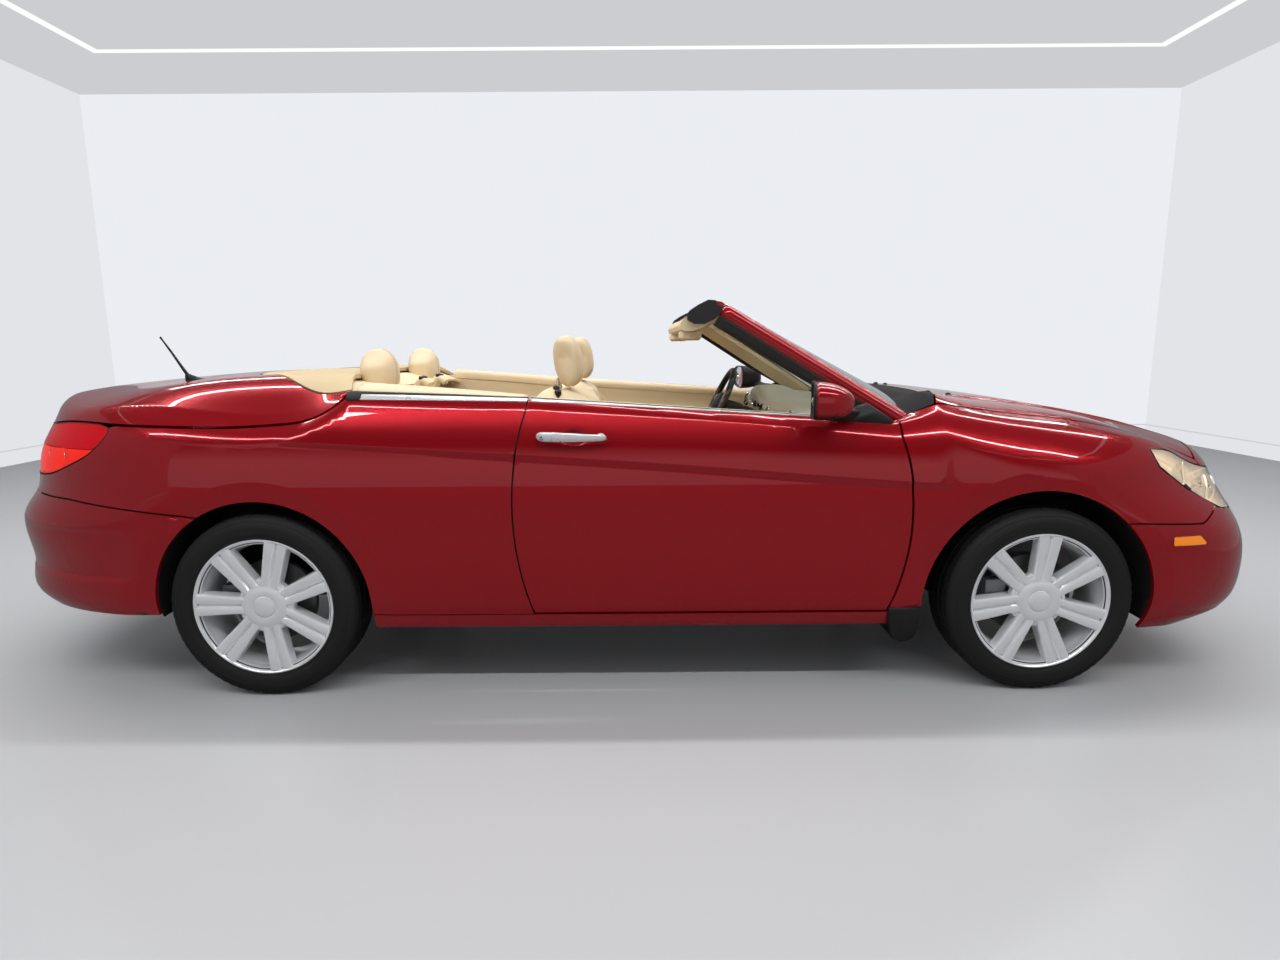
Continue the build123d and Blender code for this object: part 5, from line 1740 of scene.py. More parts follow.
def makeSteeringWheel():
    tilt = math.radians(steerSize["tilt"])
    axis = np.array([-math.cos(tilt), 0, math.sin(tilt)])
    up, across = np.array([math.sin(tilt), 0, math.cos(tilt)]), np.array([0.0, 1.0, 0.0])
    hub = np.array(steerSize["hub"])
    ringRadius, rimHalf = steerSize["ring"], steerSize["tube"]

    def ringPart(a0, a1, slot, grow=1.0, count=64):
        rows = []
        for a in np.linspace(a0, a1, count):
            d = across * math.cos(a) + up * math.sin(a)
            rows.append([tuple(hub + d * (ringRadius + rimHalf * grow * math.cos(b))
                               + axis * (rimHalf * grow * 1.1 * math.sin(b)))
                         for b in ringTurns(16)])
        return loftParts(rows, slot)
    quarter = math.pi / 4
    parts = [ringPart(-quarter * 0.6, quarter * 0.6, 1),
             ringPart(quarter * 0.6, math.pi - quarter * 0.6, 0, 0.97),
             ringPart(math.pi - quarter * 0.6, math.pi + quarter * 0.6, 1),
             ringPart(math.pi + quarter * 0.6, 2 * math.pi - quarter * 0.6, 0, 0.97)]
    for a, wide in ((math.radians(8), 0.022), (math.radians(172), 0.022), (math.radians(-58), 0.016),
                    (math.radians(238), 0.016)):
        d = across * math.cos(a) + up * math.sin(a)
        side = np.cross(d, axis)
        rows = []
        for q, w, back in ((0.045, wide * 1.3, -0.012), (0.09, wide, -0.006), (0.14, wide * 0.9, 0.0),
                           (0.176, wide * 1.05, 0.002)):
            rows.append([tuple(hub + d * q + side * w * x + axis * (back + y)) for x, y in
                         ((-1, -0.004), (-0.85, 0.004), (-0.3, 0.007), (0.3, 0.007), (0.85, 0.004), (1, -0.004),
                          (0.6, -0.008), (-0.6, -0.008))])
        parts.append(loftParts(rows, 2))
    parts.append(discAt(hub, axis, [(0.0, 0.026), (0.030, 0.0245), (0.052, 0.018), (0.064, 0.006),
                                    (0.068, -0.008), (0.060, -0.030), (0.0, -0.034)], 0, 48))
    wheel = assemble("steering_wheel_dressed", parts, [blackTrim, burrWood, silverTrim], 36)
    rideAs("steering_wheel", wheel, node="steering_wheel")


def makeConsole():
    line = softLine([(0.700, 0.640), (0.600, 0.612), (0.500, 0.580), (0.300, 0.566), (0.080, 0.566),
                     (0.020, 0.572)], 30)

    def topRule(u, v):
        at = np.linspace(0, 1, len(line))
        x = np.interp(u, at, [p[0] for p in line])
        z = np.interp(u, at, [p[1] for p in line])
        a = (v - 0.5) * 2
        y = 0.098 * np.sign(a) * np.minimum(np.abs(a) * 1.35, 1.0)
        return np.stack([x, y, z - 0.155 * smoothStep(0.74, 1.0, np.abs(a))
                         - 0.02 * np.maximum(np.abs(a) - 0.6, 0)], -1)
    body = gridShell("console_shell", topRule, np.linspace(0, 1, 40), np.linspace(0, 1, 41), 0.012, darkPlastic)
    rows = []
    for x, grow in ((-0.415, 0.90), (-0.405, 0.98), (-0.36, 1.0), (-0.15, 1.0), (0.0, 0.99), (0.045, 0.95),
                    (0.060, 0.85)):
        ring = []
        for a in ringTurns(32):
            c, s = math.cos(a), math.sin(a)
            ring.append((x, squared(c, 0.4) * 0.096 * grow, 0.606 + squared(s, 0.5) * 0.034 * grow))
        rows.append(ring)
    lid = lofted("console_armrest", rows, leather)
    base = [[(x, y, z) for y, z in ((-0.094, 0.390), (0.094, 0.390), (0.094, 0.574), (-0.094, 0.574))]
            for x in (-0.410, 0.050)]
    low = lofted("console_base", base, darkPlastic, 30)
    parts = []
    for x in (0.150, 0.245):
        parts.append(discAt((x, 0.0, 0.568), (0, 0, 1),
                            [(0.041, 0.0), (0.043, 0.004), (0.039, 0.006), (0.036, 0.003), (0.035, -0.045),
                             (0.0, -0.045)], 0))
    boot = discAt((0.430, 0.0, 0.572), (-0.15, 0, 1),
                  [(0.055, 0.0), (0.052, 0.010), (0.042, 0.018), (0.030, 0.035), (0.018, 0.060), (0.011, 0.075),
                   (0.0, 0.076)], 1)
    knob = discAt((0.419, 0.0, 0.648), (-0.15, 0, 1),
                  [(0.010, 0.0), (0.012, 0.020), (0.022, 0.034), (0.026, 0.052), (0.022, 0.066), (0.010, 0.073),
                   (0.0, 0.074)], 0)
    lever = assemble("console_lever_and_cups", parts + [boot, knob], [silverTrim, blackTrim], 36)
    rideAs("body", body, lid, low, lever, node="centre_console")


def makeDoorTrim():
    # inner face of the door: armrest, lower pocket, wood band and pull; its top roll is made with the belt
    def rule(u, v):
        x = u
        top = topHeight(x, 0.79) - 0.020
        z = 0.345 + (top - 0.345) * v
        arm = (np.exp(-((z - 0.735) / 0.045) ** 4)
               * smoothStep(-0.33, -0.20, x) * (1 - smoothStep(0.50, 0.72, x)))
        pocket = (np.exp(-((z - 0.46) / 0.10) ** 4)
                  * smoothStep(-0.10, 0.05, x) * (1 - smoothStep(0.70, 0.85, x)))
        return np.stack([x, 0.766 - 0.050 * arm - 0.026 * pocket, z], -1)
    trim = gridShell("left_door_trim", rule, np.linspace(-0.285, 0.895, 90), np.linspace(0, 1, 60), 0.006,
                     creamPlastic)
    pairOf(trim, "left_door")

    def bandRule(u, v):
        p = rule(u, 0.80 + 0.045 * v)
        return p + np.array([0, -0.003, 0])
    band = gridShell("left_door_wood_band", bandRule, np.linspace(-0.24, 0.80, 60), np.linspace(0, 1, 6), 0.004,
                     burrWood)
    pairOf(band, "left_door")
    pull = roundedTube([(0.42, 0.742, 0.800), (0.40, 0.728, 0.806), (0.33, 0.724, 0.806), (0.31, 0.740, 0.802)],
                       0.007)
    pairOf(assemble("left_door_pull", [pull], [chromeTrim], 40), "left_door")


def makeRearTrim():
    def rule(u, v):
        top = topHeight(u, 0.72) - 0.022
        z = 0.42 + (top - 0.42) * v
        arm = (np.exp(-((z - 0.70) / 0.05) ** 4)
               * smoothStep(-0.90, -0.84, u) * (1 - smoothStep(-0.46, -0.40, u)))
        return np.stack([u, 0.696 - 0.075 * arm * (1 - 0.3 * v), z], -1)
    trim = gridShell("left_rear_side_trim", rule, np.linspace(-1.060, -0.335, 60), np.linspace(0, 1, 50), 0.006,
                     creamPlastic)
    pairOf(trim, "body")

    def shelfRule(u, v):
        y = u * 0.735
        x = -0.930 - 0.150 * v + 0.03 * u * u
        z = topHeight(x, y) - 0.024 - 0.030 * (1 - v) ** 2
        return np.stack([x, y, z], -1)
    shelf = gridShell("rear_shelf", shelfRule, np.linspace(-1, 1, 60), np.linspace(0, 1, 8), 0.012,
                      creamPlastic)
    rideAs("body", shelf)


makeDashboard()
makeColumn()
makeSteeringWheel()
makeConsole()
makeDoorTrim()
makeRearTrim()
makeBelt()
print("cabin made")


# padded seats: each pad is shaped, blown up a little as cloth, then sewn

def stitchTree():
    # geometry nodes: short stitches laid along a curve
    tree, keys, given, out = newTree("stitchesAlong", [("Spacing", "Float"), ("Stitch Length", "Float"),
                                                       ("Thread Radius", "Float"), ("Finish", "Material")])
    points, thread, onPoints = (tree.nodes.new("GeometryNode" + kind) for kind in
                                ("CurveToPoints", "MeshCylinder", "InstanceOnPoints"))
    points.mode = "LENGTH"
    setInputs(thread, Vertices=5)
    linkAll(tree, (given, "Geometry", points, "Curve"), (given, "Spacing", points, "Length"),
            (given, "Thread Radius", thread, "Radius"), (given, "Stitch Length", thread, "Depth"),
            (points, "Points", onPoints, "Points"), (points, "Rotation", onPoints, "Rotation"),
            (thread, "Mesh", onPoints, "Instance"))
    finishCopies(tree, given, onPoints, out)
    return tree, keys


stitchNodes, stitchKeys = stitchTree()
creamThread = finish("creamThread", (0.50, 0.38, 0.24), (0.42, 0.31, 0.19), (0.6, 0.7), 60.0, 900.0, 0.5)


def stitchesAlong(name, lines, spacing=0.009, long=0.006, radius=0.0007):
    curve = bpy.data.curves.new(name, "CURVE")
    curve.dimensions = "3D"
    for line in lines:
        spline = curve.splines.new("POLY")
        spline.points.add(len(line) - 1)
        for point, p in zip(spline.points, line):
            point.co = (*p, 1)
    obj = bpy.data.objects.new(name, curve)
    scene.collection.objects.link(obj)
    nodes = obj.modifiers.new("stitches", "NODES")
    nodes.node_group = stitchNodes
    for key, value in zip(stitchKeys, (spacing, long, radius, creamThread)):
        nodes[key] = value
    mesh = evaluated(obj)
    bpy.data.objects.remove(obj)
    plain = bpy.data.objects.new(name, mesh)
    scene.collection.objects.link(plain)
    return plain


padPieces = {  # thick, wide, long, centre, lean, upright, cap, roundness, bolster, taper
    "left_seat_cushion": (0.105, 0.500, 0.465, (0.110, 0.365, 0.462), 6.0, False, 0.022, 4.5, 0.030, 0.04),
    "left_seat_back": (0.118, 0.480, 0.610, (-0.168, 0.365, 0.800), 15.0, True, 0.022, 5.5, 0.034, 0.12),
    "left_seat_headrest": (0.112, 0.232, 0.204, (-0.222, 0.365, 1.184), 8.0, True, 0.014, 2.6, 0.0, -0.10),
    "rear_seat_cushion": (0.105, 1.030, 0.425, (-0.700, 0.0, 0.518), 6.0, False, 0.022, 6.0, 0.0, 0.02),
    "rear_seat_back": (0.105, 1.030, 0.490, (-0.888, 0.0, 0.815), 14.0, True, 0.022, 6.0, 0.0, 0.05),
    "left_rear_headrest": (0.136, 0.230, 0.182, (-0.994, 0.330, 1.146), 4.0, True, 0.014, 2.5, 0.0, 0.50),
}
padSeams = {  # seam lines on the front face, as (across, along) from -1 to 1
    "left_seat_cushion": [[(-0.56, -0.9), (-0.56, 0.86)], [(0.56, -0.9), (0.56, 0.86)],
                          [(-0.56, 0.30), (0.56, 0.30)], [(-0.56, -0.35), (0.56, -0.35)]],
    "left_seat_back": [[(-0.56, -0.9), (-0.58, 0.55), (-0.42, 0.80)],
                       [(0.56, -0.9), (0.58, 0.55), (0.42, 0.80)],
                       [(-0.57, -0.30), (0.57, -0.30)], [(-0.57, 0.12), (0.57, 0.12)],
                       [(-0.58, 0.52), (0.58, 0.52)]],
    "left_seat_headrest": [[(-0.62, -0.9), (-0.66, 0.2), (-0.45, 0.86)],
                           [(0.62, -0.9), (0.66, 0.2), (0.45, 0.86)]],
    "rear_seat_cushion": [[(0.0, -0.9), (0.0, 0.9)], [(-0.80, -0.85), (-0.80, 0.85)],
                          [(0.80, -0.85), (0.80, 0.85)], [(-0.8, 0.25), (0.8, 0.25)]],
    "rear_seat_back": [[(0.0, -0.9), (0.0, 0.9)], [(-0.80, -0.85), (-0.80, 0.8)], [(0.80, -0.85), (0.80, 0.8)],
                       [(-0.8, 0.15), (0.8, 0.15)]],
    "left_rear_headrest": [[(0.0, -0.95), (0.0, 0.95)]],
}


def padAxes(lean, upright):
    # the directions across, along and out of a pad's face
    c, s = math.cos(math.radians(lean)), math.sin(math.radians(lean))
    along, out = np.array([c, 0, s]), np.array([-s, 0, c])
    if upright:
        along, out = out, along
    return np.array([0, 1.0, 0]), along, out


def padStart(name):
    # crowned closed form: sides pull in between the corners, bolsters stand up
    thick, wide, long, centre, lean, upright, _, power, bolster, taper = padPieces[name]
    across, along, out = padAxes(lean, upright)
    n = 26
    t = np.sin(np.linspace(-math.pi / 2, math.pi / 2, 2 * n + 1))
    a, b = np.meshgrid(t, t, indexing="ij")
    edge = (np.clip(1 - np.abs(a) ** power, 0, 1) ** (1 / 2.2)
            * np.clip(1 - np.abs(b) ** power, 0, 1) ** (1 / 2.2))
    half = wide / 2 * (1 - taper * smoothStep(0.1, 1.0, b)) * (1 - 0.10 * np.abs(b) ** 6)
    y = a * half
    z = b * long / 2 * (1 - 0.09 * np.abs(a) ** 5)
    rise = bolster * smoothStep(0.45, 0.85, np.abs(a)) * (1 - smoothStep(0.5, 0.95, b)) * edge
    front, back = thick / 2 * edge + rise, -thick / 2 * edge
    top = np.array(centre) + y[..., None] * across + z[..., None] * along + front[..., None] * out
    low = np.array(centre) + y[..., None] * across + z[..., None] * along + back[..., None] * out
    m = 2 * n + 1
    verts = np.concatenate([top.reshape(-1, 3), low.reshape(-1, 3)])
    index = np.arange(m * m).reshape(m, m)
    under = index + m * m
    under[0, :], under[-1, :], under[:, 0], under[:, -1] = index[0, :], index[-1, :], index[:, 0], index[:, -1]
    faces = []
    for i in range(m - 1):
        for j in range(m - 1):
            faces.append((index[i, j], index[i + 1, j], index[i + 1, j + 1], index[i, j + 1]))
            faces.append((under[i, j], under[i, j + 1], under[i + 1, j + 1], under[i + 1, j]))
    used = np.unique(np.array(faces))
    renumber = np.full(len(verts), -1)
    renumber[used] = np.arange(len(used))
    return assemble(name, [(verts[used], [tuple(renumber[list(f)]) for f in faces], 0)], [leather], 0)


padGrain = {"rear_seat": 0.0130, "headrest": 0.0090, "left_seat": 0.0115}  # the mesh's cell on each kind of pad


def puffed(obj, cap, voxel):
    # evened out, then swollen a little by air pressure as sewn cloth swells over its foam
    remesh = obj.modifiers.new("even", "REMESH")
    remesh.mode, remesh.voxel_size, remesh.use_smooth_shade = "VOXEL", voxel, True
    applied(obj)
    start = coordsOf(obj.data)
    cloth = obj.modifiers.new("cloth", "CLOTH")
    cloth.settings.quality, cloth.settings.mass = 4, 0.4
    cloth.settings.tension_stiffness = cloth.settings.compression_stiffness = 12
    cloth.settings.use_pressure, cloth.settings.uniform_pressure_force = True, 4.0
    cloth.settings.effector_weights.gravity = 0
    cloth.point_cache.frame_start, cloth.point_cache.frame_end = 1, 20
    for frameNow in range(1, 21):
        scene.frame_set(frameNow)
    view = bpy.context.evaluated_depsgraph_get()
    swollen = coordsOf(obj.evaluated_get(view).data)
    obj.modifiers.clear()
    scene.frame_set(1)
    move = swollen - start
    far = np.linalg.norm(move, axis=1, keepdims=True)
    move *= np.minimum(1.0, cap / np.maximum(far, 1e-9))
    obj.data.vertices.foreach_set("co", (start + move).ravel())
    obj.data.update()
    fine = obj.modifiers.new("fine", "SUBSURF")
    fine.levels = fine.render_levels = 1
    return applied(obj)


def sewn(obj, name):
    # seams pressed in along their lines; gives the lines of the stitches beside them
    centre, lean, upright = padPieces[name][3:6]
    across, along, out = padAxes(lean, upright)
    co = coordsOf(obj.data)
    local = co - np.array(centre)
    la, lb = local @ across, local @ along
    wideNow, longNow = np.abs(la).max(), np.abs(lb).max()
    press = np.zeros(len(co))
    lines = []
    for seam in padSeams[name]:
        p = np.array(seam) * (wideNow, longNow)
        line = np.array(softLine(p, 60)) if len(p) > 2 else np.linspace(p[0], p[1], 61)
        d = np.full(len(co), 9.0)
        for q in line:
            d = np.minimum(d, np.hypot(la - q[0], lb - q[1]))
        press = np.maximum(press, np.exp(-(d / 0.0055) ** 2))
        for shift in (-0.0095, 0.0095):
            tangent = np.gradient(line, axis=0)
            tangent /= np.linalg.norm(tangent, axis=1, keepdims=True)
            lines.append(line + np.stack([-tangent[:, 1], tangent[:, 0]], -1) * shift)
    normal = np.zeros(len(co) * 3)
    obj.data.vertices.foreach_get("normal", normal)
    normal = normal.reshape(-1, 3)
    facing = smoothStep(0.0, 0.4, normal @ out)
    co = co - normal * (press * facing * 0.0055)[:, None]
    obj.data.vertices.foreach_set("co", co.ravel())
    obj.data.update()
    laid = []
    for line in lines:
        row = []
        for q in line:
            origin = Vector(np.array(centre) + across * q[0] + along * q[1] + out * 0.3)
            hit, place, _, _ = obj.ray_cast(origin, Vector(-out))
            if hit:
                row.append(tuple(np.array(place) + out * 0.0004))
                continue
            if len(row) > 3:
                laid.append(row)
            row = []
        if len(row) > 3:
            laid.append(row)
    return laid


def makePads():
    allLines = []
    for name, form in padPieces.items():
        grain = next(size for kind, size in padGrain.items() if kind in name)
        pad = puffed(padStart(name), form[6], grain)
        lines = sewn(pad, name)
        allLines += lines
        pads = [pad]
        if name.startswith("left"):
            pads.append(mirrorCopy(pad, name.replace("left", "right")))
            allLines += [[(x, -y, z) for x, y, z in row] for row in lines]
        for piece in pads:
            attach(piece, "body")
            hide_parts("rear_seat" if "rear" in name else "front_seats")
        print("pad made:", name, len(pad.data.polygons))
    rideAs("body", stitchesAlong("seat_stitches", allLines))


seatFrame = {"y": 0.365, "backX": -0.168, "backZ": 0.792, "backLean": 15.0, "hingeX": -0.125, "hingeZ": 0.500,
             "hingeOut": 0.245, "postX": -0.262, "postOut": 0.055}


def makeSeatBack():
    # the rigid shell behind the back's pad
    across, along, out = padAxes(seatFrame["backLean"], True)
    middle = np.array([seatFrame["backX"], seatFrame["y"], seatFrame["backZ"]])
    rows = []
    for b, g, h, lift in ((-0.275, 0.88, 0.6, 0.0), (-0.262, 0.97, 0.85, 0.0), (-0.10, 1.0, 1.0, 0.0),
                          (0.12, 1.0, 1.05, 0.0), (0.235, 0.985, 1.04, 0.0), (0.272, 0.95, 0.96, 0.0),
                          (0.296, 0.88, 0.74, 0.006), (0.308, 0.76, 0.36, 0.012)):
        ring = []
        for a in ringTurns(48):
            y = squared(math.cos(a), 0.45) * 0.236 * g
            d = -0.062 + lift + squared(math.sin(a), 0.7) * 0.054 * h
            ring.append(tuple(middle + across * y + along * b + out * d))
        rows.append(ring)
    pairOf(lofted("left_seat_back_shell", rows, creamPlastic, 50), "body", "front_seats")


def makeGuides():
    # headrest posts and their buttons, belt buttons, and the guides behind the rear seat
    posts, guides = [], []
    x, seatY, apart = seatFrame["postX"], seatFrame["y"], seatFrame["postOut"]
    for s in (1, -1):
        for dy in (-apart, apart):
            posts.append(roundedTube([(x, s * seatY + dy, 1.02), (x, s * seatY + dy, 1.12)], 0.006))
        for place in ((-0.262, s * 0.480, 1.083), (-0.250, s * 0.530, 1.071)):
            posts.append(discAt(place, (0.10, 0.35 * s, 0.93),
                                [(0.0, 0.006), (0.010, 0.006), (0.013, 0.003), (0.013, -0.020)], 1, 20))
    for s in (1, -1):
        for y in (0.115, 0.165):
            guides.append(roundedTube([(-0.900, s * y, 1.060), (-0.882, s * y, 1.096), (-0.868, s * y, 1.100),
                                       (-0.842, s * y, 1.082)], 0.016, 0, 14))
            posts.append(discAt((-0.872, s * y, 1.112), (0.25, 0, 0.97),
                                [(0.0, 0.006), (0.010, 0.006), (0.013, 0.003), (0.013, -0.010)], 1, 20))
    rideAs("body", assemble("rear_belt_guides", guides, [creamPlastic], 50))
    rideAs("body", assemble("headrest_posts", posts, [chromeTrim, blackTrim], 40), node="front_seats")


def makeSeatBase():
    rows = []
    for z, gx, gy in ((0.262, 0.92, 0.92), (0.270, 0.96, 0.96), (0.330, 1.0, 1.0), (0.385, 1.02, 1.03),
                      (0.402, 1.0, 1.0)):
        rows.append([(0.095 + 0.235 * gx * squared(math.cos(a), 0.5),
                      seatFrame["y"] + 0.235 * gy * squared(math.sin(a), 0.5), z + 0.025 * math.cos(a))
                     for a in ringTurns(48)])
    pairOf(lofted("left_seat_base", rows, creamPlastic, 36), "body", "front_seats")
    x, y, z, out = seatFrame["hingeX"], seatFrame["y"], seatFrame["hingeZ"], seatFrame["hingeOut"]
    outer = discAt((x, y + out, z), (0, 1, 0),
                   [(0.0, 0.022), (0.030, 0.021), (0.040, 0.014), (0.044, 0.0), (0.044, -0.030)], 0, 32)
    inner = discAt((x, y - out, z), (0, -1, 0),
                   [(0.0, 0.012), (0.030, 0.011), (0.040, 0.006), (0.044, 0.0), (0.044, -0.030)], 0, 32)
    pairOf(assemble("left_seat_recliner", [outer, inner], [creamPlastic], 36), "body", "front_seats")


makePads()
makeSeatBack()
makeGuides()
makeSeatBase()
print("seats made")


def makeLiner(end, arch, fromDeg, toDeg):
    def rule(u, v):
        r = arch[2] + 0.004 + 0.012 * v
        x, z = arch[0] + r * np.cos(u), arch[1] + r * np.sin(u)
        y = np.minimum(skin(uOfSide(x, z), z)[..., 1] - 0.017, 0.876)
        return np.stack([x, y - (y - 0.590) * v, z], -1)
    return gridShell("left_%s_arch_liner" % end, rule, np.radians(np.linspace(fromDeg, toDeg, 90)),
                     np.linspace(0, 1, 8), 0.003, underSeal)


def makeSeamShadeStrip(name, line, up, down):
    # a dark strip behind the seam between two panels: painted shade, standing for the shade inside the gap
    outline = fromSide([(x, z + up) for x, z in line] + [(x, z - down) for x, z in line[::-1]])
    return trimmedPanel(name, outline, insetOf(skin, 0.015), rubberSeal, 0.003, step=0.02)


def makeArches():
    for liner in (makeLiner("front", frontArch, -10.5, 187.0), makeLiner("rear", rearArch, -7.0, 187.0)):
        pairOf(liner, "body")
    front = softLine([(1.772, 0.6205), (1.900, 0.617), (2.000, 0.6115), (2.060, 0.609), (2.111, 0.631),
                      (2.160, 0.655)], 30)
    rear = softLine([(-1.490, 0.672), (-1.700, 0.691), (-1.850, 0.707), (-1.966, 0.720), (-2.150, 0.723),
                     (-2.320, 0.725)], 40)
    edge = [(x - 0.003, z) for x, z in doorRearEdge if z < crossing(x) - 0.01]
    strip = fromSide([(x - 0.0024, z) for x, z in edge] + [(x + 0.0018, z) for x, z in edge[::-1]])
    doorSeal = trimmedPanel("left_door_rear_seal", strip, insetOf(skin, 0.010), rubberSeal, 0.030, step=0.03)
    # dark strips behind the seams: painted shade inside the gaps
    for piece in (makeSeamShadeStrip("left_front_seam_backing", front, 0.010, 0.012),
                  makeSeamShadeStrip("left_rear_seam_backing", rear, 0.012, 0.012), doorSeal):
        pairOf(piece, "body")


markerSize = {"low": 0.540, "high": 0.571, "rear": 1.930, "front": 2.060}
amberLens = finish("amberLens", (0.95, 0.28, 0.015), (0.88, 0.24, 0.010), (0.06, 0.12), 30.0, 300.0, 0.25,
                   Coat_Weight=0.6, Emission_Color=(1.0, 0.22, 0.01, 1), Emission_Strength=0.10)


def makeMarkers():
    m = markerSize
    rear, front, low, high = m["rear"], m["front"], m["low"], m["high"]
    outline = fromSide([(rear + 0.004, low), (front - 0.004, low), (front, low + 0.006),
                        (front - 0.022, high - 0.002),
                        (front - 0.028, high), (rear + 0.004, high), (rear, high - 0.004), (rear, low + 0.004)])
    lens = trimmedPanel("left_side_marker", outline, insetOf(skin, -0.0025), amberLens, 0.008, step=0.01)
    edge = wallBand("left_side_marker_edge", outline, skin, -0.0018, 0.004, rubberSeal, 0.0016)
    for piece in (lens, edge):
        pairOf(piece, "body")


def makeMudFlaps():
    outline = [(1.056, 0.321), (1.053, 0.270), (1.043, 0.222), (1.022, 0.197), (0.992, 0.192), (0.966, 0.200),
               (0.951, 0.228), (0.944, 0.270), (0.942, 0.321)]
    rows = []
    for y, g in ((0.700, 0.94), (0.704, 1.0), (0.880, 1.0), (0.889, 0.98), (0.893, 0.93)):
        rows.append([(1.0 + (x - 1.0) * g, y, 0.26 + (z - 0.26) * g) for x, z in softLine(outline, 40)])
    pairOf(lofted("left_mud_flap", rows, blackTrim), "body")


def onNose(y, z, d):
    # a place behind the nose's skin by d, on either side of the middle
    u, t = fromEnd([(abs(y), z)])[0]
    p = skinPoint(u, t, d)
    return np.array([p[0], math.copysign(p[1], y) if abs(y) > 1e-6 else 0.0, z])


def makeGrilleBars():
    parts = []
    section = [(0.009, -0.0015), (0.007, 0.0028), (-0.008, 0.0036), (-0.009, -0.0010), (-0.006, -0.0036),
               (0.006, -0.0036)]
    for z, half, slot in ((0.678, 0.412, 0), (0.704, 0.410, 0), (0.730, 0.404, 0), (0.756, 0.392, 0),
                          (0.333, 0.492, 1), (0.366, 0.486, 1)):
        rows = []
        for y in np.linspace(-half, half, 48):
            c = onNose(y, z, 0.024)
            rows.append([(c[0] + dx, y, z + dz) for dx, dz in section])
        parts.append(loftParts(rows, slot))
    upright = ((-0.010, -0.004), (0.004, -0.004), (0.004, 0.004), (-0.010, 0.004))
    for y in (-0.25, 0.0, 0.25):
        rows = []
        for z in (0.660, 0.690, 0.720, 0.750, 0.780):
            c = onNose(y, z, 0.030)
            rows.append([(c[0] + dx, y + dy, z) for dx, dy in upright])
        parts.append(loftParts(rows, 1))
    bars = assemble("grille_bars", parts, [chromeTrim, blackTrim], 40)
    rideAs("body", bars)
    opening = bothSides(grilleOpening(), noseU)
    frame = wallBand("grille_surround", opening, skin, -0.0025, 0.020, chromeTrim, 0.005)
    rideAs("body", frame)


wiperSize = {"arm": 0.0055, "blade": 0.0045, "lift": 0.020}


def makeWipers():
    w = wiperSize
    for name, pivotY, fromY, toY in (("wiper_near", -0.130, -0.620, -0.150),
                                     ("wiper_far", 0.420, -0.060, 0.450)):
        def over(y, v, lift):
            y = np.array([y])
            p = screenPoint(y / screenForm["lowHalf"], np.array([v]))[0]
            return p + np.array([0.42, 0.0, 0.90]) * lift
        blade = [over(y, 0.115 - 0.050 * abs(y - pivotY), 0.011) for y in np.linspace(fromY, toY, 24)]
        arm = [over(pivotY, -0.060, 0.030), over(pivotY - 0.02, -0.030, 0.040),
               over(pivotY - 0.09, 0.020, w["lift"] + 0.012),
               over((fromY + toY) / 2 - 0.02, 0.085, w["lift"]),
               over((fromY + toY) / 2 - 0.05, 0.092, w["lift"] - 0.003)]
        smooth = [tuple(np.array([np.interp(k, range(5), [q[j] for q in arm]) for j in range(3)]))
                  for k in np.linspace(0, 4, 20)]
        parts = [roundedTube(blade, w["blade"], 0, 8), roundedTube(smooth, w["arm"], 0, 10)]
        parts.append(discAt(over(pivotY, -0.060, 0.012), (0.35, 0, 0.94),
                            [(0.0, 0.026), (0.012, 0.025), (0.017, 0.018), (0.019, 0.0), (0.019, -0.02)], 0,
                            24))
        rideAs("body", assemble(name, parts, [blackTrim], 40))
    parts = []
    for x, y in ((1.303, 0.400), (1.303, -0.400), (1.240, 0.350), (1.240, -0.350)):
        parts.append(discAt((x, y, float(topHeight(x, y))), (0.05, 0, 1),
                            [(0.0, 0.010), (0.006, 0.0095), (0.010, 0.006), (0.013, 0.0), (0.013, -0.004)], 0,
                            20))
    rideAs("hood", assemble("washer_nozzles", parts, [blackTrim], 40))


plateSize = {"x": -2.4655, "z": 0.508, "wide": 0.305, "high": 0.152, "corner": 0.012, "thick": 0.0014,
             "screwZ": 0.560, "screwY": 0.089}
plateWhite = finish("plateWhite", (0.72, 0.73, 0.74), (0.68, 0.69, 0.70), (0.35, 0.45), 12.0, 500.0, 0.1)


def makePlate():
    p = plateSize
    x, thick, r = p["x"], p["thick"], p["corner"]
    rim = []
    for sy, sz, start in ((1, 1, 0), (-1, 1, 90), (-1, -1, 180), (1, -1, 270)):
        for a in np.radians(np.linspace(start, start + 90, 8)):
            rim.append((sy * (p["wide"] / 2 - r) + r * math.cos(a), sz * (p["high"] / 2 - r) + r * math.sin(a)))
    layers = ((-0.003, 1.0), (thick, 1.0), (thick + 0.0008, 0.985), (thick, 0.965), (thick, 0.9))
    parts = [loftParts([[(x - d, y * g, p["z"] + z * g) for y, z in rim] for d, g in layers])]
    for s in (1, -1):
        parts.append(discAt((x - thick, s * p["screwY"], p["screwZ"]), (-1, 0, 0),
                            [(0.0, 0.0022), (0.004, 0.0020), (0.0062, 0.0008), (0.0065, -0.002)], 1, 20))
    rideAs("body", assemble("rear_plate", parts, [plateWhite, steelPart], 40))


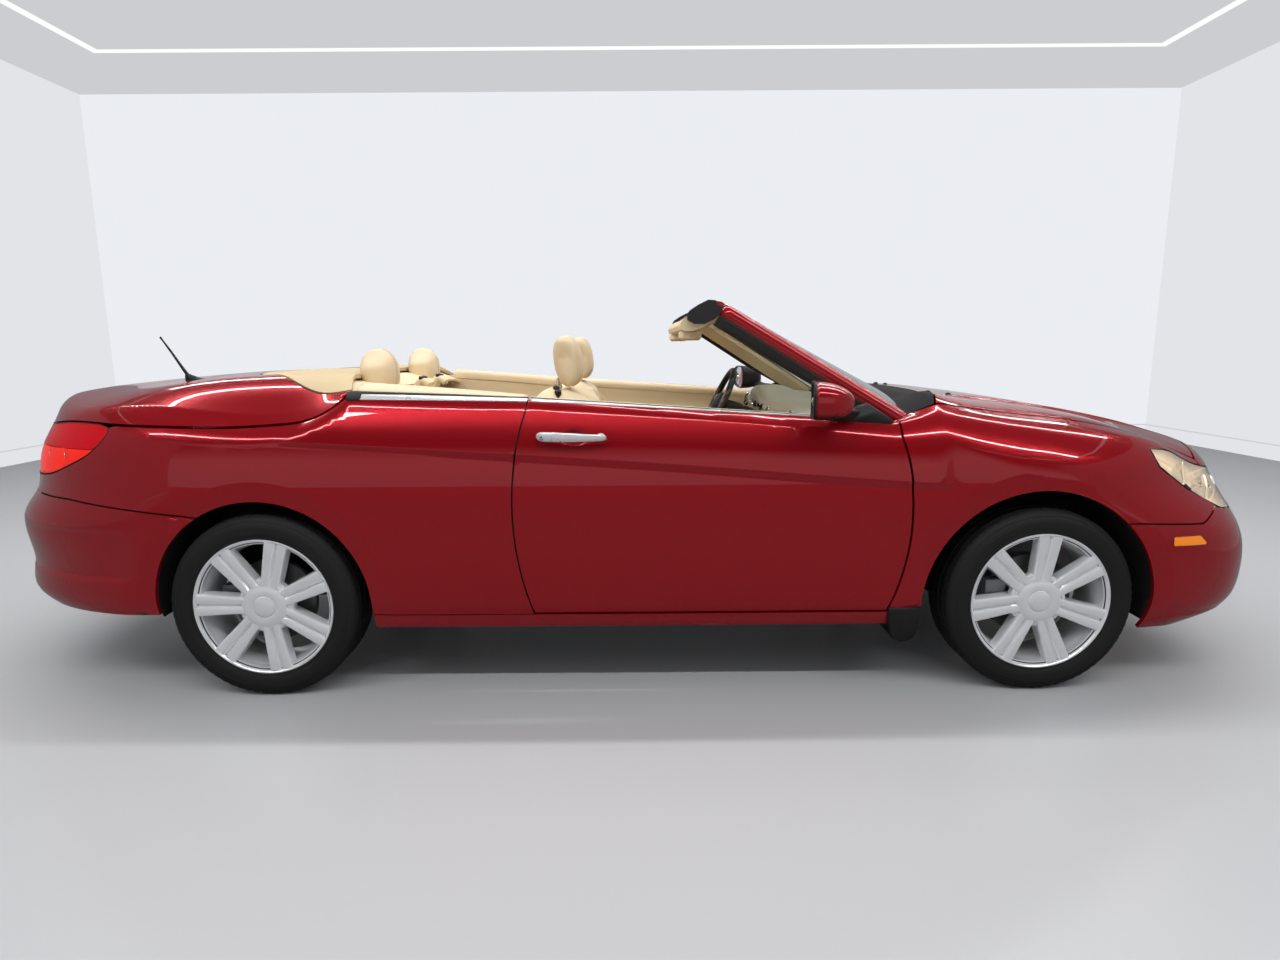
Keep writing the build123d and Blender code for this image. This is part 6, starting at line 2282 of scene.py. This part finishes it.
def makeAntenna():
    y = 0.450
    z0 = float(topHeight(-1.68, y)) - 0.003
    rows = []
    for k in np.linspace(0, 1, 12):
        x = -1.722 + 0.088 * k
        half = 0.017 * math.sin(math.pi * min(0.12 + 0.88 * (1 - k) ** 0.8, 1.0)) ** 0.5
        high = 0.006 + 0.030 * (1 - k) ** 1.5 * min(1.0, 0.45 + k * 6)
        rows.append([(x, -y + half * math.cos(a), z0 + max(high * math.sin(a), -0.004)) for a in ringTurns(20)])
    mast = [(-1.706, -y, z0 + 0.016), (-1.722, -y, z0 + 0.040), (-1.740, -y, z0 + 0.070), (-1.764, -y, 1.230),
            (-1.800, -y, 1.286)]
    parts = [loftParts(rows), roundedTube(mast, 0.004, 0, 12, [0.0065, 0.0060, 0.0048, 0.0042, 0.0030])]
    tip = discAt((-1.800, -y, 1.286), (-0.54, 0, 0.84),
                 [(0.0, 0.004), (0.003, 0.0035), (0.004, 0.001), (0.0038, -0.006)], 0, 12)
    antenna = assemble("antenna_dressed", parts + [tip], [blackTrim], 40)
    rideAs("deck_lid", antenna, node="antenna")
    x, section = -1.668, ((-0.0018, -0.006), (-0.0018, 0.0006), (0.0018, 0.0006), (0.0018, -0.006))
    rows = [[(x + dx + 0.02 * (y / 0.7) ** 2, y, float(topHeight(x, y)) + dz) for dx, dz in section]
            for y in np.linspace(-0.735, 0.735, 90)]
    rideAs("deck_lid", lofted("deck_lid_seam", rows, rubberSeal))


def dressNodes():
    # finishes for the bodies seen only from below or through the wheels
    castBlock = finish("castBlock", (0.30, 0.30, 0.31), (0.20, 0.20, 0.20), (0.45, 0.65), 14.0, 260.0, 0.6,
                       Metallic=0.8)
    exhaustSteel = finish("exhaustSteel", (0.32, 0.29, 0.26), (0.20, 0.17, 0.15), (0.35, 0.6), 8.0, 240.0, 0.4,
                          Metallic=0.9)
    tankPlastic = finish("tankPlastic", (0.016, 0.016, 0.017), (0.024, 0.024, 0.025), (0.5, 0.65), 6.0, 300.0,
                         0.4)
    mesh = finish("grilleMesh", (0.010, 0.010, 0.011), (0.018, 0.018, 0.019), (0.45, 0.6), 20.0, 260.0, 0.5)
    chosen = {"floor_pan": underSeal, "wheelhouses": underSeal, "engine": castBlock,
              "front_subframe": underSeal, "rear_axle": steelPart,
              "exhaust": exhaustSteel, "fuel_tank": tankPlastic, "grille": mesh, "left_knuckle": castAlloy,
              "right_knuckle": castAlloy}
    for node, material in chosen.items():
        obj = bpy.data.objects[node]
        for slot in obj.material_slots:
            slot.material = material
        if not obj.material_slots:
            obj.data.materials.append(material)


makeArches()
makeMarkers()
makeMudFlaps()
makeGrilleBars()
makeWipers()
makePlate()
makeAntenna()
dressNodes()
print("small pieces made")


# the room, its lights and the camera

def stagePlane(name, corners, material):
    newObject(name, corners, [tuple(range(len(corners)))], material, False)


def wallPlane(name, start, end, low, high, material):
    stagePlane(name, [(*start, low), (*end, low), (*end, high), (*start, high)], material)


def levelPlane(name, start, end, z, material):
    (ax, ay), (bx, by) = start, end
    stagePlane(name, [(ax, ay, z), (bx, ay, z), (bx, by, z), (ax, by, z)], material)


def seenOnly(name, colour, gloss=1.0):
    # a plain backdrop that eyes, gloss and glass see, and that takes no part in the lighting
    material = bpy.data.materials.new(name)
    material.use_nodes = True
    nodes = material.node_tree.nodes
    nodes.clear()
    out, mix, glow, clear = (nodes.new("ShaderNode" + kind) for kind in
                             ("OutputMaterial", "MixShader", "Emission", "BsdfTransparent"))
    path, place, level = (nodes.new("ShaderNode" + kind) for kind in ("LightPath", "NewGeometry", "MapRange"))
    seen, seenToo, face, part = (nodes.new("ShaderNodeMath") for _ in range(4))
    seen.use_clamp = seenToo.use_clamp = True
    face.operation, part.operation = "SUBTRACT", "MULTIPLY"
    face.inputs[0].default_value = 1.0
    glow.inputs["Color"].default_value = (*colour, 1)
    setInputs(level, To_Min=1.0, To_Max=gloss)  # for the eye, in gloss
    linkAll(material.node_tree, (path, "Is Glossy Ray", level, "Value"), (level, "Result", glow, "Strength"),
            (path, "Is Camera Ray", seen, 0), (path, "Is Glossy Ray", seen, 1), (seen, 0, seenToo, 0),
            (path, "Is Transmission Ray", seenToo, 1), (place, "Backfacing", face, 1), (seenToo, 0, part, 0),
            (face, 0, part, 1), (part, 0, mix, 0), (clear, 0, mix, 1), (glow, 0, mix, 2),
            (mix, 0, out, "Surface"))
    return material


room = {"half": 6.75, "back": 6.6, "high": 4.30, "near": -7.5, "skirting": 0.17, "line": 0.014,
        "stripX": 5.6, "stripY": 5.10, "stripWide": 0.10, "daylight": 0.34}
floorFinish = finish("floorFinish", (0.52, 0.525, 0.535), (0.505, 0.51, 0.52), (0.30, 0.36), 0.8, 60.0, 0.0)
# painted shade in reflections: the floor is darker where gloss sees it, standing for the car's shadow on the
# floor beside it
colourWhere(floorFinish, "ShaderNodeLightPath", "Is Glossy Ray", (0.30, 0.30, 0.30), "MULTIPLY")
wallFinish, sideFinish = seenOnly("wallFinish", (0.83, 0.85, 0.885),
                                  0.6), seenOnly("sideFinish", (0.76, 0.775, 0.81), 0.30)
ceilingFinish, skirtFinish = seenOnly("ceilingFinish", (0.60, 0.61, 0.63),
                                      0.08), seenOnly("skirtFinish", (0.60, 0.61, 0.63))
stripFinish = seenOnly("stripFinish", (1.0, 1.0, 1.0))


def makeRoom():
    w, d, h, n = room["half"], room["back"], room["high"], room["near"]
    levelPlane("floor", (-12, -12), (12, 9), 0, floorFinish)
    wallPlane("wall_back", (-w, d), (w, d), 0, h, wallFinish)
    wallPlane("wall_left", (-w, n), (-w, d), 0, h, sideFinish)
    wallPlane("wall_right", (w, d), (w, n), 0, h, sideFinish)
    levelPlane("ceiling", (-w, d), (w, n), h, ceilingFinish)
    top, inX, inY = room["skirting"], w - 0.02, d - 0.02
    low = top - room["line"]
    wallPlane("skirting_back", (-w, inY), (w, inY), low, top, skirtFinish)
    wallPlane("skirting_left", (-inX, n), (-inX, d), low, top, skirtFinish)
    wallPlane("skirting_right", (inX, d), (inX, n), low, top, skirtFinish)
    x, y, wide, under = room["stripX"], room["stripY"], room["stripWide"], h - 0.02
    levelPlane("strip_back", (-x, y + wide), (x, y), under, stripFinish)
    levelPlane("strip_left", (-x, y), (wide - x, n), under, stripFinish)
    levelPlane("strip_right", (x - wide, y), (x, n), under, stripFinish)


makeRoom()
world = bpy.data.worlds.new("room")
scene.world = world
world.use_nodes = True
setInputs(world.node_tree.nodes["Background"], Color=(0.95, 0.97, 1.0, 1), Strength=room["daylight"])


def worldGloss():
    # gloss sees a grey room beyond the floor's edge and a dark one overhead
    nodes = world.node_tree.nodes
    path, place, part, rise, mix = (nodes.new("ShaderNode" + kind) for kind in
                                    ("LightPath", "TexCoord", "SeparateXYZ", "MapRange", "Mix"))
    setInputs(rise, From_Min=0.10, From_Max=0.34, To_Min=0.52, To_Max=0.02)
    setInputs(mix, A=0.50)
    linkAll(world.node_tree, (place, "Generated", part, 0), (part, "Z", rise, "Value"),
            (rise, "Result", mix, "B"),
            (path, "Is Glossy Ray", mix, "Factor"), (mix, "Result", nodes["Background"], "Strength"))


worldGloss()


def stripLight(name, x, y, z, sizeX, sizeY, watts, turn=(0, 0, 0)):
    data = bpy.data.lights.new(name, "AREA")
    data.shape, data.size, data.size_y, data.energy = "RECTANGLE", sizeX, sizeY, watts
    lamp = bpy.data.objects.new(name, data)
    lamp.location, lamp.rotation_euler = (x, y, z), turn
    scene.collection.objects.link(lamp)


stripLight("ceilingNear", 0.0, -3.4, 4.2, 11.0, 0.14, 170, (0.35, 0, 0))
stripLight("ceilingMid", 0.0, 0.3, 4.2, 11.0, 0.14, 170)
stripLight("ceilingFar", 0.0, 3.6, 4.2, 11.0, 0.14, 135, (-0.35, 0, 0))
scene.view_settings.view_transform = "Standard"

view = {"place": (0.0572, -3.5, 1.2492), "down": 0.1749, "tilt": 0.0067, "turn": -0.0029, "sensor": 36.0,
        "lens": 768.99 / 1280.0}  # the lens as a share of the sensor
cameraData = bpy.data.cameras.new("view")
cameraData.sensor_width, cameraData.lens = view["sensor"], view["lens"] * view["sensor"]
cameraData.clip_end = 100.0
camera = bpy.data.objects.new("view", cameraData)
camera.location = view["place"]
camera.rotation_euler = (math.pi / 2 - view["down"], view["tilt"], view["turn"])
scene.collection.objects.link(camera)
scene.camera = camera
print("room and camera set")
